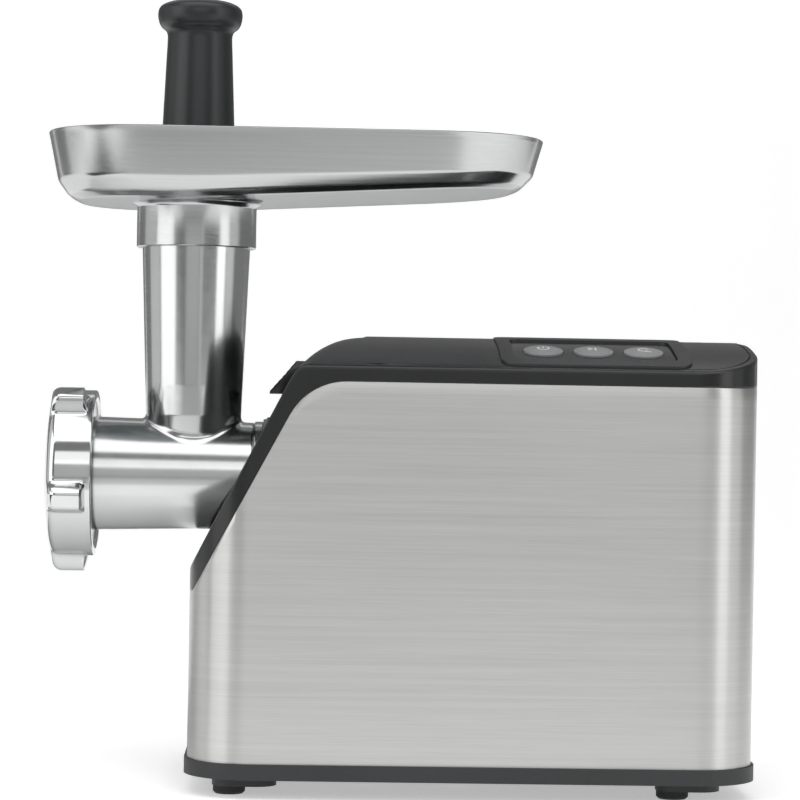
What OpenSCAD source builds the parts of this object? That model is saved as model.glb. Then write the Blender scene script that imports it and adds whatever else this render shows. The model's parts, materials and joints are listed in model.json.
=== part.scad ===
// Electric meat grinder: housing with motor and gear train, bayonet grinding head, tray and pusher.
// Head at -X, housing at +X, feet on z = 0. All sizes in millimetres.

/* [Housing] */
// Length of the base pan, front to rear
base_len = 249; // [240:1:300]
// Distance from the front of the tray to the front of the base
head_reach = 66.5; // [64:0.5:90]
// Width of the steel wrap
steel_w = 160; // [156:1:200]
// Height of the steel wrap
steel_h = 164.2; // [158:0.2:200]
// Thickness of the steel sheet
steel_t = 1.2; // [0.8:0.1:2]
// Corner radius of the housing in plan
corner_r = 28; // [20:1:36]
// Rise of the crowned top from its side edges to its middle
crown_h = 14.6; // [10:0.2:20]
// Height of the black side band under the crown
side_band = 6.2; // [4:0.2:10]
// Height above the floor of the lower end of the cover
tip_z = 88; // [82:0.5:90]
// Height of the upright part of the cover below the front slope
tip_h = 9.4; // [6:0.2:12]
// Width of the black band at that lower end
tip_band = 1.6; // [1:0.1:4]
// Angle of the front slope above the horizontal
slope_a = 62.8; // [60:0.1:66]
// Angle of the seam between the steel and the cover along the slope
seam_a = 62; // [59:0.1:66]
// Radius of the bend between the front slope and the crown
bend_r = 42; // [34:1:46]
// Wall thickness of the moulded cover
cover_t = 2.6; // [2:0.1:3.2]
// Wall thickness of the tongue that locates the cover in the steel
tongue_t = 2; // [1.6:0.1:2.6]
// Depth of that tongue below the seam
tongue_h = 8; // [5:0.5:12]

/* [Base] */
// How far the base pan stands out past the steel
base_lip = 1.3; // [0.8:0.1:2.5]
// Height of the rim of the base pan
rim_h = 6.8; // [5:0.1:10]
// Thickness of the floor of the base pan
floor_t = 2.6; // [2:0.1:4]
// Height of the oblong foot bosses
boss_h = 4.5; // [3:0.1:6]
// Length of the oblong foot bosses
boss_len = 28; // [24:1:36]
// Width of the oblong foot bosses
boss_w = 19; // [18:1:26]
// Height of the rubber feet below their bosses
foot_h = 3.8; // [3:0.1:5]
// Radius of the rubber feet
foot_r = 7; // [6:0.5:8]
// Height of the pads that carry the motor and the gearbox
pad_h = 7; // [5:0.5:10]

/* [Grinding head] */
// Height of the barrel axis above the floor
axis_z = 136; // [134:0.5:140]
// Distance of the socket mouth behind the front of the steel
mouth_in = 30.2; // [28:0.2:32]
// Outer radius of the barrel behind the ring nut
barrel_front_r = 25.7; // [25:0.1:28]
// Outer radius of the barrel in front of its flange
barrel_rear_r = 23.5; // [23:0.1:25]
// Bore radius of the barrel
bore_r = 21; // [20:0.1:21.4]
// Radius of the bayonet neck
neck_r = 21.5; // [21.5:0.1:23]
// Length of the bayonet neck
neck_len = 14; // [13:0.5:15]
// Height of the bayonet lugs above the neck
lug_h = 2.7; // [2:0.1:3]
// Turn of the bayonet between locked and free
twist_a = 35; // [30:1:40]
// Radius of the barrel flange
flange_r = 25; // [24.8:0.1:26]
// Thickness of the barrel flange
flange_t = 4; // [3.5:0.1:5]
// Distance of the front of the ring nut behind the front of the tray
nut_in = 1.5; // [0:0.1:6]
// Outer radius of the feed tube at its top
tube_top_r = 24.3; // [24:0.1:26]
// Outer radius of the feed tube at the barrel
tube_low_r = 21.8; // [21.5:0.1:23]
// Height of the top of the feed tube above the floor
tube_z = 256; // [240:1:270]
// Wall thickness of the feed tube
tube_t = 3; // [2.4:0.1:3.4]
// Radius of the cutting plate
plate_r = 27; // [26:0.1:28]
// Thickness of the cutting plate
plate_t = 4.5; // [4:0.1:6]
// Radius of the threaded front of the barrel
thread_r = 33; // [32:0.1:34]
// Length of the ring nut
nut_len = 23.5; // [22:0.1:32]
// Radius of the ring nut between its lobes
nut_r = 37.5; // [36.5:0.1:39]
// Radius of the ring nut over its lobes
lobe_r = 44.4; // [41:0.1:47]
// Number of lobes on the ring nut
lobes = 5; // [4:1:8]
// Radius of the opening in the front of the ring nut
mouth_r = 23; // [21:0.5:24.5]

/* [Auger and knife] */
// Pitch of the auger flight
auger_pitch = 28; // [20:1:34]
// Axial thickness of the auger flight
flight_t = 3.6; // [2.5:0.1:5]
// Radius of the auger journal
journal_r = 11; // [10:0.1:12]
// Width of the square tang on the auger
tang_w = 12; // [10:0.5:14]
// Radius of the knife over its blades
knife_r = 24.5; // [23:0.1:25]
// Thickness of the knife
knife_t = 5; // [4:0.5:6]

/* [Tray and pusher] */
// Length of the tray
tray_len = 221.8; // [200:0.2:260]
// Width of the tray
tray_w = 130; // [110:1:150]
// Height of the tray from its underside to its rim
tray_h = 30; // [24:0.5:36]
// Thickness of the tray wall
tray_t = 1.2; // [1:0.1:2]
// Length of the tray in front of the feed tube axis
tray_ahead = 66.2; // [60:0.1:72]
// Outer radius of the tray collar
collar_r = 27; // [26.6:0.1:29]
// Height of the tray collar below the tray
collar_h = 19.9; // [14:0.1:26]
// Radius of the pusher where it fills the feed tube
pusher_r = 18.4; // [17.5:0.1:18.5]
// Height of the top of the pusher above the floor
pusher_z = 350.6; // [330:0.2:370]
// Radius of the pusher knob
knob_r = 19.3; // [17:0.1:20.5]
// Radius of the pusher below its knob
grip_r = 14.5; // [12:0.1:16]

/* [Controls] */
// Length of the control panel frame
panel_len = 83; // [80:1:96]
// Distance from the rear of the steel to the middle of the panel
panel_in = 72; // [60:1:90]
// Spacing of the three buttons
button_gap = 22; // [20:0.5:24]
// Radius of the buttons
button_r = 8.75; // [8:0.05:9.5]
// Travel of a button
button_travel = 2.2; // [1:0.1:2.6]
// Distance of the button row from the middle of the housing
button_y = 53; // [50:1:56]
// Width of the release lever
lever_w = 26; // [20:1:30]

/* [Drive train] */
// Teeth of the output gear
output_teeth = 36; // [34:1:38]
// Teeth of the pinion on the second shaft
second_pinion_teeth = 12; // [11:1:14]
// Module of the output gear pair
output_module = 2; // [1.8:0.1:2.1]
// Teeth of the gear on the second shaft
second_teeth = 48; // [44:1:50]
// Teeth of the pinion on the first shaft
first_pinion_teeth = 12; // [11:1:14]
// Module of the second gear pair
second_module = 1.5; // [1.4:0.1:1.6]
// Teeth of the gear on the first shaft
first_teeth = 50; // [46:1:52]
// Teeth of the motor pinion
motor_teeth = 10; // [10:1:12]
// Module of the first gear pair
first_module = 1; // [0.9:0.05:1.1]
// Height of the motor axis above the floor
motor_z = 62; // [60:1:66]
// Length of the stator stack
stack_len = 40; // [30:1:46]
// Width of the stator stack
stator_w = 76; // [74:1:84]
// Height of the stator stack
stator_h = 72; // [70:1:76]
// Radius of the armature
armature_r = 22.9; // [20:0.1:23]

/* [Hidden] */

$fn = 64;
// Over-cut that lets a cutting body stand clear of the face it cuts
eps = 1;
// Radial clearance of a running fit
run = 0.06;
// Radial clearance of a fixed seat
seat = 0.02;
// Free gap between two moving pieces that don't guide each other
gap = 0.4;
// Gap of a face that rests on another
rest = 0.05;

// Housing levels and places
overall_len = base_len + head_reach;
base_x1 = overall_len / 2;
base_x0 = base_x1 - base_len;
tray_x0 = -base_x1;
nut_x0 = tray_x0 + nut_in;
steel_x0 = base_x0 + base_lip;
steel_x1 = base_x1 - base_lip;
base_z = foot_h + boss_h;
steel_z = base_z + rim_h;
steel_top = steel_z + steel_h;
edge_z = steel_top + side_band;
slope_z = tip_z + tip_h;
crest_z = edge_z + crown_h;
crown_r = (pow(steel_w / 2, 2) + pow(crown_h, 2)) / (2 * crown_h);
rear_r = 3.5;
seam = 0.1;
tongue_in = steel_t + 0.3;
cavity_in = tongue_in + tongue_t;
pan_z = base_z + floor_t;
pad_z = pan_z + pad_h;

// Head places along X
mouth_x = steel_x0 + mouth_in;
flange_x = mouth_x - flange_t;
nut_x1 = nut_x0 + nut_len;
tube_x = tray_x0 + tray_ahead;
lip_t = 3.6;
barrel_x0 = nut_x0 + 5;
plate_x0 = nut_x0 + lip_t + 0.3;
plate_x1 = plate_x0 + plate_t;
knife_x1 = plate_x1 + 0.15 + knife_t;
chamber_x1 = knife_x1 + 1;
neck_x1 = mouth_x + neck_len;
wall_x0 = mouth_x - 2;
washer_t = 2;
auger_x1 = wall_x0 - gap - washer_t;
tang_len = 7;
socket_wall = 4.42;
socket_r = neck_r + run + socket_wall;
socket_x1 = mouth_x + 24;
lug_x0 = mouth_x + 8;
lug_len = 4;
lug_half = 20;
tunnel_r = socket_r + 0.6;

// Gearbox places along X, from the face that carries the socket
case_x0 = socket_x1;
case_t = 5;
gap_x = 3;
out_x0 = case_x0 + case_t + gap_x;
out_len = 14;
second_x0 = out_x0 + out_len + gap_x;
second_len = 10;
first_x0 = second_x0 + second_len + gap_x;
first_len = 8;
case_x1 = first_x0 + first_len + gap_x;
lid_t = 5;
lid_x1 = case_x1 + lid_t;
case_wall = 3;
tip_gap = 2.8;

// Shaft places in the YZ plane
second_y = 26;
out_dist = output_module * (output_teeth + second_pinion_teeth) / 2;
second_dist = second_module * (second_teeth + first_pinion_teeth) / 2;
first_dist = first_module * (first_teeth + motor_teeth) / 2;
out_p = [0, axis_z];
second_p = [second_y, axis_z - sqrt(out_dist * out_dist - second_y * second_y)];
motor_p = [0, motor_z];
span = norm(motor_p - second_p);
span_dir = (motor_p - second_p) / span;
span_a = (second_dist * second_dist - first_dist * first_dist + span * span) / (2 * span);
span_h = sqrt(second_dist * second_dist - span_a * span_a);
first_p = second_p + span_a * span_dir + span_h * [span_dir[1], -span_dir[0]];
out_r = output_module * output_teeth / 2;
second_r = second_module * second_teeth / 2;
first_r = first_module * first_teeth / 2;
out_shaft_r = 8;
shaft_r = 4;
pinion_shaft_r = 2.5;

// Motor places along X
bracket_t = 4;
front_x0 = lid_x1 + 14;
fan_x0 = front_x0 + bracket_t + 7;
fan_len = 8;
stack_x0 = fan_x0 + fan_len + 13;
stack_x1 = stack_x0 + stack_len;
comm_x0 = stack_x1 + 12;
comm_len = 12;
rear_x0 = comm_x0 + comm_len + 12;
motor_x1 = rear_x0 + bracket_t + 6;
bearing_r = 11;
bearing_w = 7;
comm_r = 12;
air_gap = 0.7;
coil_in = 24.5;
coil_out = 31;
post_y = stator_w / 2 - 5;
post_z = stator_h / 2 - 5;
post_r = 3.6;
bolt_r = 1.9;

// Tube, tray and pusher heights
tray_z = tube_z + 2.5;
rim_z = tray_z + tray_h;
collar_z = tray_z - collar_h;
ledge_z = axis_z + barrel_front_r - 0.5;
throat_r = 17;
tube_bore_low = tube_low_r - tube_t;
tube_bore_top = tube_top_r - tube_t;
tray_hole_r = tube_bore_top;
pusher_z0 = ledge_z + 0.3;
knob_h = 12.6;
taper_z = pusher_z - 107;

// Panel frame of reference: on the crown over the button row, Z along the local normal
panel_x = steel_x1 - panel_in;
panel_tilt = asin(button_y / crown_r);
crown_cz = crest_z - crown_r;
panel_y0 = -steel_w / 2 + 4;
panel_y1 = -10;
plate_y0 = panel_y0 + 6;
plate_y1 = panel_y1 - 16;
plate_len = panel_len - 12;
frame_lap = 2.3;
plate_gap = 0.3;
board_w = -17;
board_t = 1.6;
switch_h = 5.5;
switch_floor = 0.8;
stem_low = board_w + switch_floor + 1 + button_travel;
stem_r = 2.9;
cap_low = -4.2;
post_u = 33;
post_v = 13.5;

// Release lever
pivot_x = mouth_x + 25;
pivot_z = crest_z - 17;
pin_r = 1.5;
nose_z = axis_z + neck_r + 2.9;
nose_h = 2.2;

// Base places
foot_x = [steel_x0 + 18.7, steel_x1 - 34.8];
foot_y = steel_w / 2 - 22;
tower_x = [foot_x[0] + boss_len / 2, foot_x[1] + boss_len / 2];
seat_h = 4;
tower_r = 5;
leg_y = [-30, 42];
gland_y = steel_w / 2 - 38;
gland_z = steel_z + 30;
gland_len = 9;
gland_r = 3.8;

function polar(r, a) = [r * cos(a), r * sin(a)];
// Ears that hold the gearbox screws, as [y, z]
ear_out = tip_gap + 4.5;
ears = [out_p + polar(out_r + ear_out, 62), out_p + polar(out_r + ear_out, 178),
    out_p + polar(out_r + ear_out, 118), second_p + polar(second_r + ear_out, 20),
    second_p + polar(second_r + ear_out, -80), first_p + polar(first_r + ear_out, 190)];

// Points on an arc about c from angle a0 to a1, in n equal steps
function arc(c, r, a0, a1, n) = [for (i = [0 : n]) c + polar(r, a0 + (a1 - a0) * i / n)];
function crown_z(y) = crown_cz + sqrt(crown_r * crown_r - y * y);
function heading(from, to) = atan2(to[1] - from[1], to[0] - from[0]);

// Turns a shape drawn in (y, z) so that its extrusion runs along +X from x0
module along_x(x0, p = [0, 0]) {
    translate([x0, p[0], p[1]]) rotate([90, 0, 90]) children();
}

// A cylinder along +X from x0 to x1 about the point p in the YZ plane
module rod(x0, x1, r, p = [0, 0], r2 = undef) {
    along_x(x0, p) cylinder(h = x1 - x0, r1 = r, r2 = is_undef(r2) ? r : r2);
}

// Extrudes a profile drawn in (x, z) across the width, centred on y
module across(w, y = 0) {
    translate([0, y + w / 2, 0]) rotate([90, 0, 0]) linear_extrude(w) children();
}

module round_rect(x0, x1, y0, y1, r) {
    translate([x0 + r, y0]) square([x1 - x0 - 2 * r, y1 - y0]);
    translate([x0, y0 + r]) square([x1 - x0, y1 - y0 - 2 * r]);
    for (x = [x0 + r, x1 - r], y = [y0 + r, y1 - r]) translate([x, y]) circle(r);
}

// Footprint of the steel wrap, moved inwards by t
module plan(t) {
    round_rect(steel_x0 + t, steel_x1 - t, -steel_w / 2 + t, steel_w / 2 - t, corner_r - t);
}

// Side outline with a level foot at height low, a slope at angle a whose line meets the front of the steel
// at height foot and is moved inwards by t, a flat top at z with a front bend of radius r, and a rear wall
// at x1 with a corner of radius rear
module side_outline(t, z, low, foot, a, r, x1, rear) {
    x0 = steel_x0 - eps;
    function slope_x(z) = steel_x0 + (z - foot) / tan(a) + t / sin(a);
    lead = r * tan(a / 2);
    polygon(concat([[x0, 0], [x0, low], [slope_x(low), low]],
        arc([slope_x(z) + lead, z - r], r, 90 + a, 90, 20),
        arc([x1 - rear, z - rear], rear, 90, 0, 8), [[x1, 0]]));
}

// The closed outer shape of the housing, its sides moved in by p and its top and slope by t
module housing_form(p, t) {
    intersection() {
        linear_extrude(crest_z + eps) plan(p);
        across(steel_w + 2 * eps)
            side_outline(t, crest_z - t, slope_z, slope_z, slope_a, bend_r - t, steel_x1 - p, rear_r);
        rod(steel_x0 - eps, steel_x1 + eps, crown_r - t, [0, crown_cz]);
    }
}

// What lies under the seam between the steel and the cover, moved down and in by d
module under_seam(d) {
    across(steel_w + 4 * eps) side_outline(d, steel_top - d, tip_z - d, tip_z - tip_band * tan(seam_a), seam_a,
        bend_r - 14, steel_x1 + eps, eps / 2);
}

module steel_body() {
    color("#c8c9c4") difference() {
        intersection() {
            translate([0, 0, steel_z]) linear_extrude(steel_h) difference() {
                plan(0);
                plan(steel_t);
            }
            under_seam(seam);
        }
        rod(steel_x1 - 2 * steel_t, base_x1, 6.5, [gland_y, gland_z]);
    }
}

module tower(x, y) {
    translate([x, y, pad_z]) cylinder(h = crest_z, r = tower_r);
}

module top_cover() {
    color("#454647") difference() {
        union() {
            difference() {
                union() {
                    difference() {
                        housing_form(0, 0);
                        under_seam(0);
                    }
                    intersection() {
                        housing_form(tongue_in, 1);
                        under_seam(-eps);
                    }
                }
                housing_form(cavity_in, cover_t);
                under_seam(tongue_h);
            }
            intersection() {
                housing_form(cavity_in - eps, cover_t / 2);
                union() {
                    for (x = tower_x, y = [-foot_y, foot_y]) tower(x, y);
                    for (s = [-1, 1]) across(4, s * (lever_w / 2 + 3))
                        translate([pivot_x - 4, pivot_z - 4]) square([8, 20]);
                }
            }
            intersection() {
                housing_form(cavity_in - eps, 0);
                rod(steel_x0, socket_x1 - 5.4, tunnel_r + 2, out_p);
            }
        }
        rod(steel_x0 - eps, socket_x1, tunnel_r, out_p);
        lever_opening();
        across(8) translate([mouth_x - 10, nose_z - 3]) square([30, 14]);
        rod_y(pivot_x, pivot_z, pin_r + seat, lever_w + 12);
        panel_block(frame_lap - plate_gap, 6, 10);
        for (x = tower_x, y = [-foot_y, foot_y])
            translate([x, y, pad_z - eps]) cylinder(h = 31, r = 1.6);
    }
}

// A cylinder along Y, centred on y = 0, about the point (x, z)
module rod_y(x, z, r, w) {
    translate([x, w / 2, z]) rotate([90, 0, 0]) cylinder(h = w, r = r);
}

// Opening in the slope that the release lever works in
module lever_opening() {
    across(lever_w + 2 * gap) polygon([[pivot_x - 30, pivot_z - 12.2], [pivot_x - 30, pivot_z + 20],
        [pivot_x - 4, pivot_z + 20], [pivot_x - 4, pivot_z - 2], [pivot_x - 12, pivot_z - 12.2]]);
}

// A block over the panel outline moved in by t, from depth low under the crown to height high over it
module panel_block(t, low, high) {
    intersection() {
        translate([0, 0, edge_z - 20]) linear_extrude(60)
            round_rect(panel_x - panel_len / 2 + t, panel_x + panel_len / 2 - t, panel_y0 + t, panel_y1 - t, 8 - t);
        crown_shell(low, high);
    }
}

// The space between the crown lowered by low and the crown raised by high
module crown_shell(low, high) {
    difference() {
        rod(steel_x0, steel_x1, crown_r + high, [0, crown_cz]);
        rod(steel_x0 - eps, steel_x1 + eps, crown_r - low, [0, crown_cz]);
    }
}

module plate_outline(t) {
    round_rect(panel_x - plate_len / 2 + t, panel_x + plate_len / 2 - t, plate_y0 + t, plate_y1 - t, 5 - t);
}

// Places its children at u along X and v up the slope from the middle button, Z along the normal there
module on_panel(u, v) {
    translate([panel_x, -button_y, crown_z(button_y)]) rotate([panel_tilt, 0, 0]) translate([u, v, 0])
        children();
}

module panel_frame() {
    color("#5a5c5e") difference() {
        union() {
            panel_block(0, -rest, 0.9);
            panel_block(frame_lap, 4.2, 0.9);
            intersection() {
                for (u = [-post_u, post_u], v = [-post_v, post_v]) on_panel(u, v)
                    translate([0, 0, board_w + rest]) cylinder(h = 20, r = 3);
                rod(steel_x0, steel_x1, crown_r - 3, [0, crown_cz]);
            }
        }
        intersection() {
            translate([0, 0, edge_z - 20]) linear_extrude(60) plate_outline(0);
            crown_shell(2.4, 10);
        }
        intersection() {
            translate([0, 0, edge_z - 20]) linear_extrude(60) plate_outline(2);
            crown_shell(10, 10);
            for (u = [-1, 0, 1]) on_panel(u * button_gap, 0) cube([21, 40, 40], center = true);
        }
        for (u = [-post_u, post_u], v = [-post_v, post_v]) on_panel(u, v)
            translate([0, 0, board_w - eps]) cylinder(h = 9, r = 1.1);
    }
}

module panel_plate() {
    color("#2c2e30") difference() {
        intersection() {
            translate([0, 0, edge_z - 20]) linear_extrude(60) plate_outline(plate_gap);
            crown_shell(2.4 - rest, -0.2);
        }
        for (i = [-1, 0, 1]) on_panel(i * button_gap, 0)
            translate([0, 0, -8]) cylinder(h = 16, r = button_r + plate_gap);
    }
}

module button(i) {
    color("#8d8f90") on_panel(i * button_gap, 0) {
        intersection() {
            translate([0, 0, cap_low]) cylinder(h = 6, r = button_r);
            translate([0, 0, -60 + 1.5]) sphere(r = 60, $fn = 96);
        }
        translate([0, 0, cap_low]) cylinder(h = 1.2, r = button_r + 1);
        translate([0, 0, stem_low]) cylinder(h = cap_low + 0.6 - stem_low, r = stem_r);
    }
}

module button_power() { button(-1); }
module button_slow() { button(0); }
module button_reverse() { button(1); }

// A coil of round wire standing on z = 0, one tube swept along a helix that may end in tangent legs
module coil(r, wire_r, turns, h, leg0 = 0, leg1 = 0) {
    sides = 6;
    steps = ceil(turns * 16);
    path = concat(leg0 > 0 ? [[0, leg0]] : [], [for (i = [0 : steps]) [i / steps, 0]],
        leg1 > 0 ? [[1, -leg1]] : []);
    pts = [for (s = path, k = [0 : sides - 1])
        let (a = 360 * turns * s[0], q = r + wire_r * cos(360 * k / sides))
        [q * cos(a) + s[1] * sin(a), q * sin(a) - s[1] * cos(a),
            wire_r + (h - 2 * wire_r) * s[0] + wire_r * sin(360 * k / sides)]];
    last = (len(path) - 1) * sides;
    rings = [for (i = [0 : len(path) - 2], k = [0 : sides - 1]) let (n = (k + 1) % sides)
        [i * sides + k, (i + 1) * sides + k, (i + 1) * sides + n, i * sides + n]];
    polyhedron(points = pts, faces = concat(rings,
        [[for (k = [0 : sides - 1]) k], [for (k = [sides - 1 : -1 : 0]) last + k]]), convexity = 6);
}

module button_spring(i) {
    low = board_w + switch_h + rest;
    color("#b8b8b8") on_panel(i * button_gap, 0) translate([0, 0, low])
        coil(4.4, 0.4, 4, cap_low - low - rest);
}

module spring_power() { button_spring(-1); }
module spring_slow() { button_spring(0); }
module spring_reverse() { button_spring(1); }

module push_switches() {
    color("#20242a") for (i = [-1, 0, 1]) on_panel(i * button_gap, 0) translate([0, 0, board_w]) difference() {
        translate([-7, -7, 0]) cube([14, 14, switch_h]);
        translate([0, 0, switch_floor]) cylinder(h = switch_h, r = stem_r + 0.3);
    }
}

module control_board() {
    color("#2f6b3f") on_panel(0, 0) translate([0, 0, board_w - board_t]) difference() {
        translate([-38, -17.5, 0]) cube([76, 35, board_t - rest]);
        for (u = [-post_u, post_u], v = [-post_v, post_v]) translate([u, v, -eps]) cylinder(h = 4, r = 1.4);
    }
}

// A pan-head screw along +Z: head from z = -head to 0, shank above it
module screw(r, len, head_r, head) {
    translate([0, 0, -head]) difference() {
        cylinder(h = head, r = head_r);
        for (a = [0, 90]) rotate([0, 0, a]) translate([-head_r * 0.55, -0.4, -eps])
            cube([head_r * 1.1, 0.8, eps + head * 0.5]);
    }
    translate([0, 0, -seat]) cylinder(h = len, r = r);
}

module board_screws() {
    color("#c9c9c4") for (u = [-post_u, post_u], v = [-post_v, post_v]) on_panel(u, v)
        translate([0, 0, board_w - board_t - rest]) screw(1.05, 8, 2.4, 1.6);
}

module release_lever() {
    color("#1d1f20") difference() {
        union() {
            across(lever_w) polygon([[pivot_x - 22.4, pivot_z - 9.8], [pivot_x - 22.2, pivot_z - 8.4],
                [pivot_x - 10.6, pivot_z + 5.2], [pivot_x - 4.8, pivot_z + 5.2], [pivot_x - 4.8, pivot_z - 1.2],
                [pivot_x - 14, pivot_z - 9.8]]);
            across(lever_w) translate([pivot_x - 5.5, pivot_z - 2]) square([5, 4]);
            rod_y(pivot_x, pivot_z, 3.2, lever_w);
            across(6) polygon([[pivot_x - 13, pivot_z - 7], [pivot_x - 10, pivot_z - 4],
                [pivot_x - 10, nose_z], [pivot_x - 13, nose_z]]);
            across(6) translate([mouth_x - 1.4, nose_z]) square([pivot_x - 10 - mouth_x + 1.4, nose_h]);
        }
        rod_y(pivot_x, pivot_z, pin_r + run, lever_w + 2);
        rod_y(pivot_x, pivot_z, 3.2 + gap, 9);
    }
}

module lever_pin() {
    color("#c9c9c4") rod_y(pivot_x, pivot_z, pin_r, lever_w + 10);
}

// Torsion spring on the pin: the coil sits in the gap of the lever hub, its legs lie on cover and lever
module lever_spring() {
    color("#b8b8b8") translate([pivot_x, -3.6, pivot_z]) rotate([-90, 0, 0]) coil(2.4, 0.4, 4.75, 7.2, 5, 7);
}

// An annular sector in the plane, from radius r0 to r1 and angle a0 to a1
module sector(r0, r1, a0, a1) {
    difference() {
        intersection() {
            circle(r1);
            polygon(concat([[0, 0]], [for (i = [0 : 4]) polar(2 * r1, a0 + (a1 - a0) * i / 4)]));
        }
        circle(r0);
    }
}

module lug_sectors(r0, r1, turn, extra) {
    for (a = [0, 180]) sector(r0, r1, a + turn - lug_half - extra, a + turn + lug_half + extra);
}

module head_socket() {
    groove = neck_r + lug_h + gap;
    color("#b9bcbd") difference() {
        union() {
            rod(mouth_x, socket_x1, socket_r, out_p);
            rod(socket_x1 - 3, socket_x1, 36, out_p);
        }
        rod(mouth_x - eps, socket_x1 + eps, neck_r + run, out_p);
        rod(lug_x0 - gap, lug_x0 + lug_len + gap, groove, out_p);
        along_x(mouth_x - eps, out_p) linear_extrude(lug_x0 - mouth_x + eps + 1)
            lug_sectors(neck_r - 1, groove, twist_a, 2);
        across(7) translate([mouth_x - eps, nose_z - 3.5]) square([lug_x0 + 11 - mouth_x + eps, 20]);
        for (a = [45 : 90 : 315]) rod(socket_x1 - 4, socket_x1 + eps, 2.2, out_p + polar(31.5, a));
    }
}

module socket_screws() {
    color("#c9c9c4") for (a = [45 : 90 : 315]) along_x(socket_x1 - 3 - rest, out_p + polar(31.5, a))
        screw(1.9, 7.4, 3.6, 2);
}

// Involute tooth flank: half the tooth angle at radius r
function inv(a) = tan(a) * 180 / PI - a;
function tooth_half(m, z, r) = let (rp = m * z / 2, rb = rp * cos(25))
    90 / z - 0.06 * m / rp * 180 / PI + inv(25) - inv(r > rb ? acos(rb / r) : 0);

module gear_outline(m, z) {
    rp = m * z / 2;
    r_out = rp + 0.8 * m;
    r_root = rp - 1.15 * m;
    r_low = max(rp * cos(25), r_root);
    radii = [for (i = [0 : 3]) r_low + (r_out - r_low) * i / 3];
    polygon([for (t = [0 : z - 1]) let (c = 360 * t / z) each concat(
        [polar(r_root, c - tooth_half(m, z, r_low))],
        [for (i = [0 : 3]) polar(radii[i], c - tooth_half(m, z, radii[i]))],
        [for (i = [3 : -1 : 0]) polar(radii[i], c + tooth_half(m, z, radii[i]))],
        [polar(r_root, c + tooth_half(m, z, r_low))])]);
}

// A spur gear from x0 about p, turned by a, with a bore for its shaft
module gear(m, z, x0, len, p, a, bore) {
    along_x(x0, p) difference() {
        rotate([0, 0, a]) linear_extrude(len) gear_outline(m, z);
        translate([0, 0, -eps]) cylinder(h = len + 2 * eps, r = bore + seat);
    }
}

// Big wheels: a web thinner than the rim and round holes in it
module wheel(m, z, x0, len, p, a, bore, hub) {
    rim = m * z / 2 - 2.6 * m;
    mid = (hub + rim) / 2;
    difference() {
        gear(m, z, x0, len, p, a, bore);
        for (x = [x0 - eps, x0 + len * 0.68]) along_x(x, p) difference() {
            cylinder(h = len * 0.32 + eps, r = rim);
            translate([0, 0, -eps]) cylinder(h = len + 2 * eps, r = hub);
        }
        for (k = [0 : 60 : 300]) rod(x0, x0 + len, (rim - hub) * 0.28, p + polar(mid, k + a));
    }
}

module output_shaft() {
    color("#b0b3b5") difference() {
        rod(case_x0 + 0.5, lid_x1, out_shaft_r, out_p);
        along_x(case_x0, out_p) translate([-5, -5, 0]) cube([10, 10, 6]);
    }
}

module output_gear() {
    color("#e7e2d4") wheel(output_module, output_teeth, out_x0, out_len, out_p, heading(out_p, second_p),
        out_shaft_r, 13);
}

module drive_coupling() {
    cup_x0 = neck_x1 + 0.5;
    color("#8e9296") {
        difference() {
            rod(cup_x0, case_x0 - 0.4, 14, out_p);
            along_x(cup_x0 - eps, out_p) translate([-tang_w / 2 - 0.15, -tang_w / 2 - 0.15, 0])
                cube([tang_w + 0.3, tang_w + 0.3, tang_len + 0.5 + eps]);
        }
        along_x(case_x0 - 0.5, out_p) translate([-4.9, -4.9, 0]) cube([9.8, 9.8, 6]);
    }
}

module second_shaft() {
    color("#b0b3b5") rod(case_x0 + 0.5, lid_x1 - 0.5, shaft_r, second_p);
}

module second_gear() {
    color("#e7e2d4") wheel(second_module, second_teeth, second_x0, second_len, second_p,
        heading(second_p, first_p) + 180 / second_teeth + 180 * second_teeth, shaft_r, 9);
}

module second_pinion() {
    color("#a7a9aa") gear(output_module, second_pinion_teeth, out_x0 - 1, out_len + 2, second_p,
        heading(second_p, out_p) + 180 / second_pinion_teeth, shaft_r);
}

module first_shaft() {
    color("#b0b3b5") rod(case_x0 + 0.5, lid_x1 - 0.5, shaft_r, first_p);
}

module first_gear() {
    color("#e7e2d4") wheel(first_module, first_teeth, first_x0, first_len, first_p,
        heading(first_p, motor_p), shaft_r, 8);
}

module first_pinion() {
    color("#a7a9aa") gear(second_module, first_pinion_teeth, second_x0 - 1, second_len + 2, first_p,
        heading(first_p, second_p), shaft_r);
}

module motor_pinion() {
    color("#a7a9aa") gear(first_module, motor_teeth, first_x0 - 0.5, first_len + 1, motor_p,
        heading(motor_p, first_p) + 180 / motor_teeth, pinion_shaft_r);
}

module motor_shaft() {
    color("#b0b3b5") {
        rod(first_x0 - 1, case_x1, pinion_shaft_r, motor_p);
        rod(case_x1, motor_x1, shaft_r, motor_p);
    }
}

// Footprint of the gearbox in the YZ plane, t outside the tips of the gears
module case_outline(t) {
    translate(out_p) circle(out_r + tip_gap + t);
    translate(second_p) circle(second_r + tip_gap + t);
    translate(first_p) circle(first_r + tip_gap + t);
    translate(motor_p) circle(10 + t);
}

module ear_discs(r) {
    for (p = ears) translate(p) circle(r);
}

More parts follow.
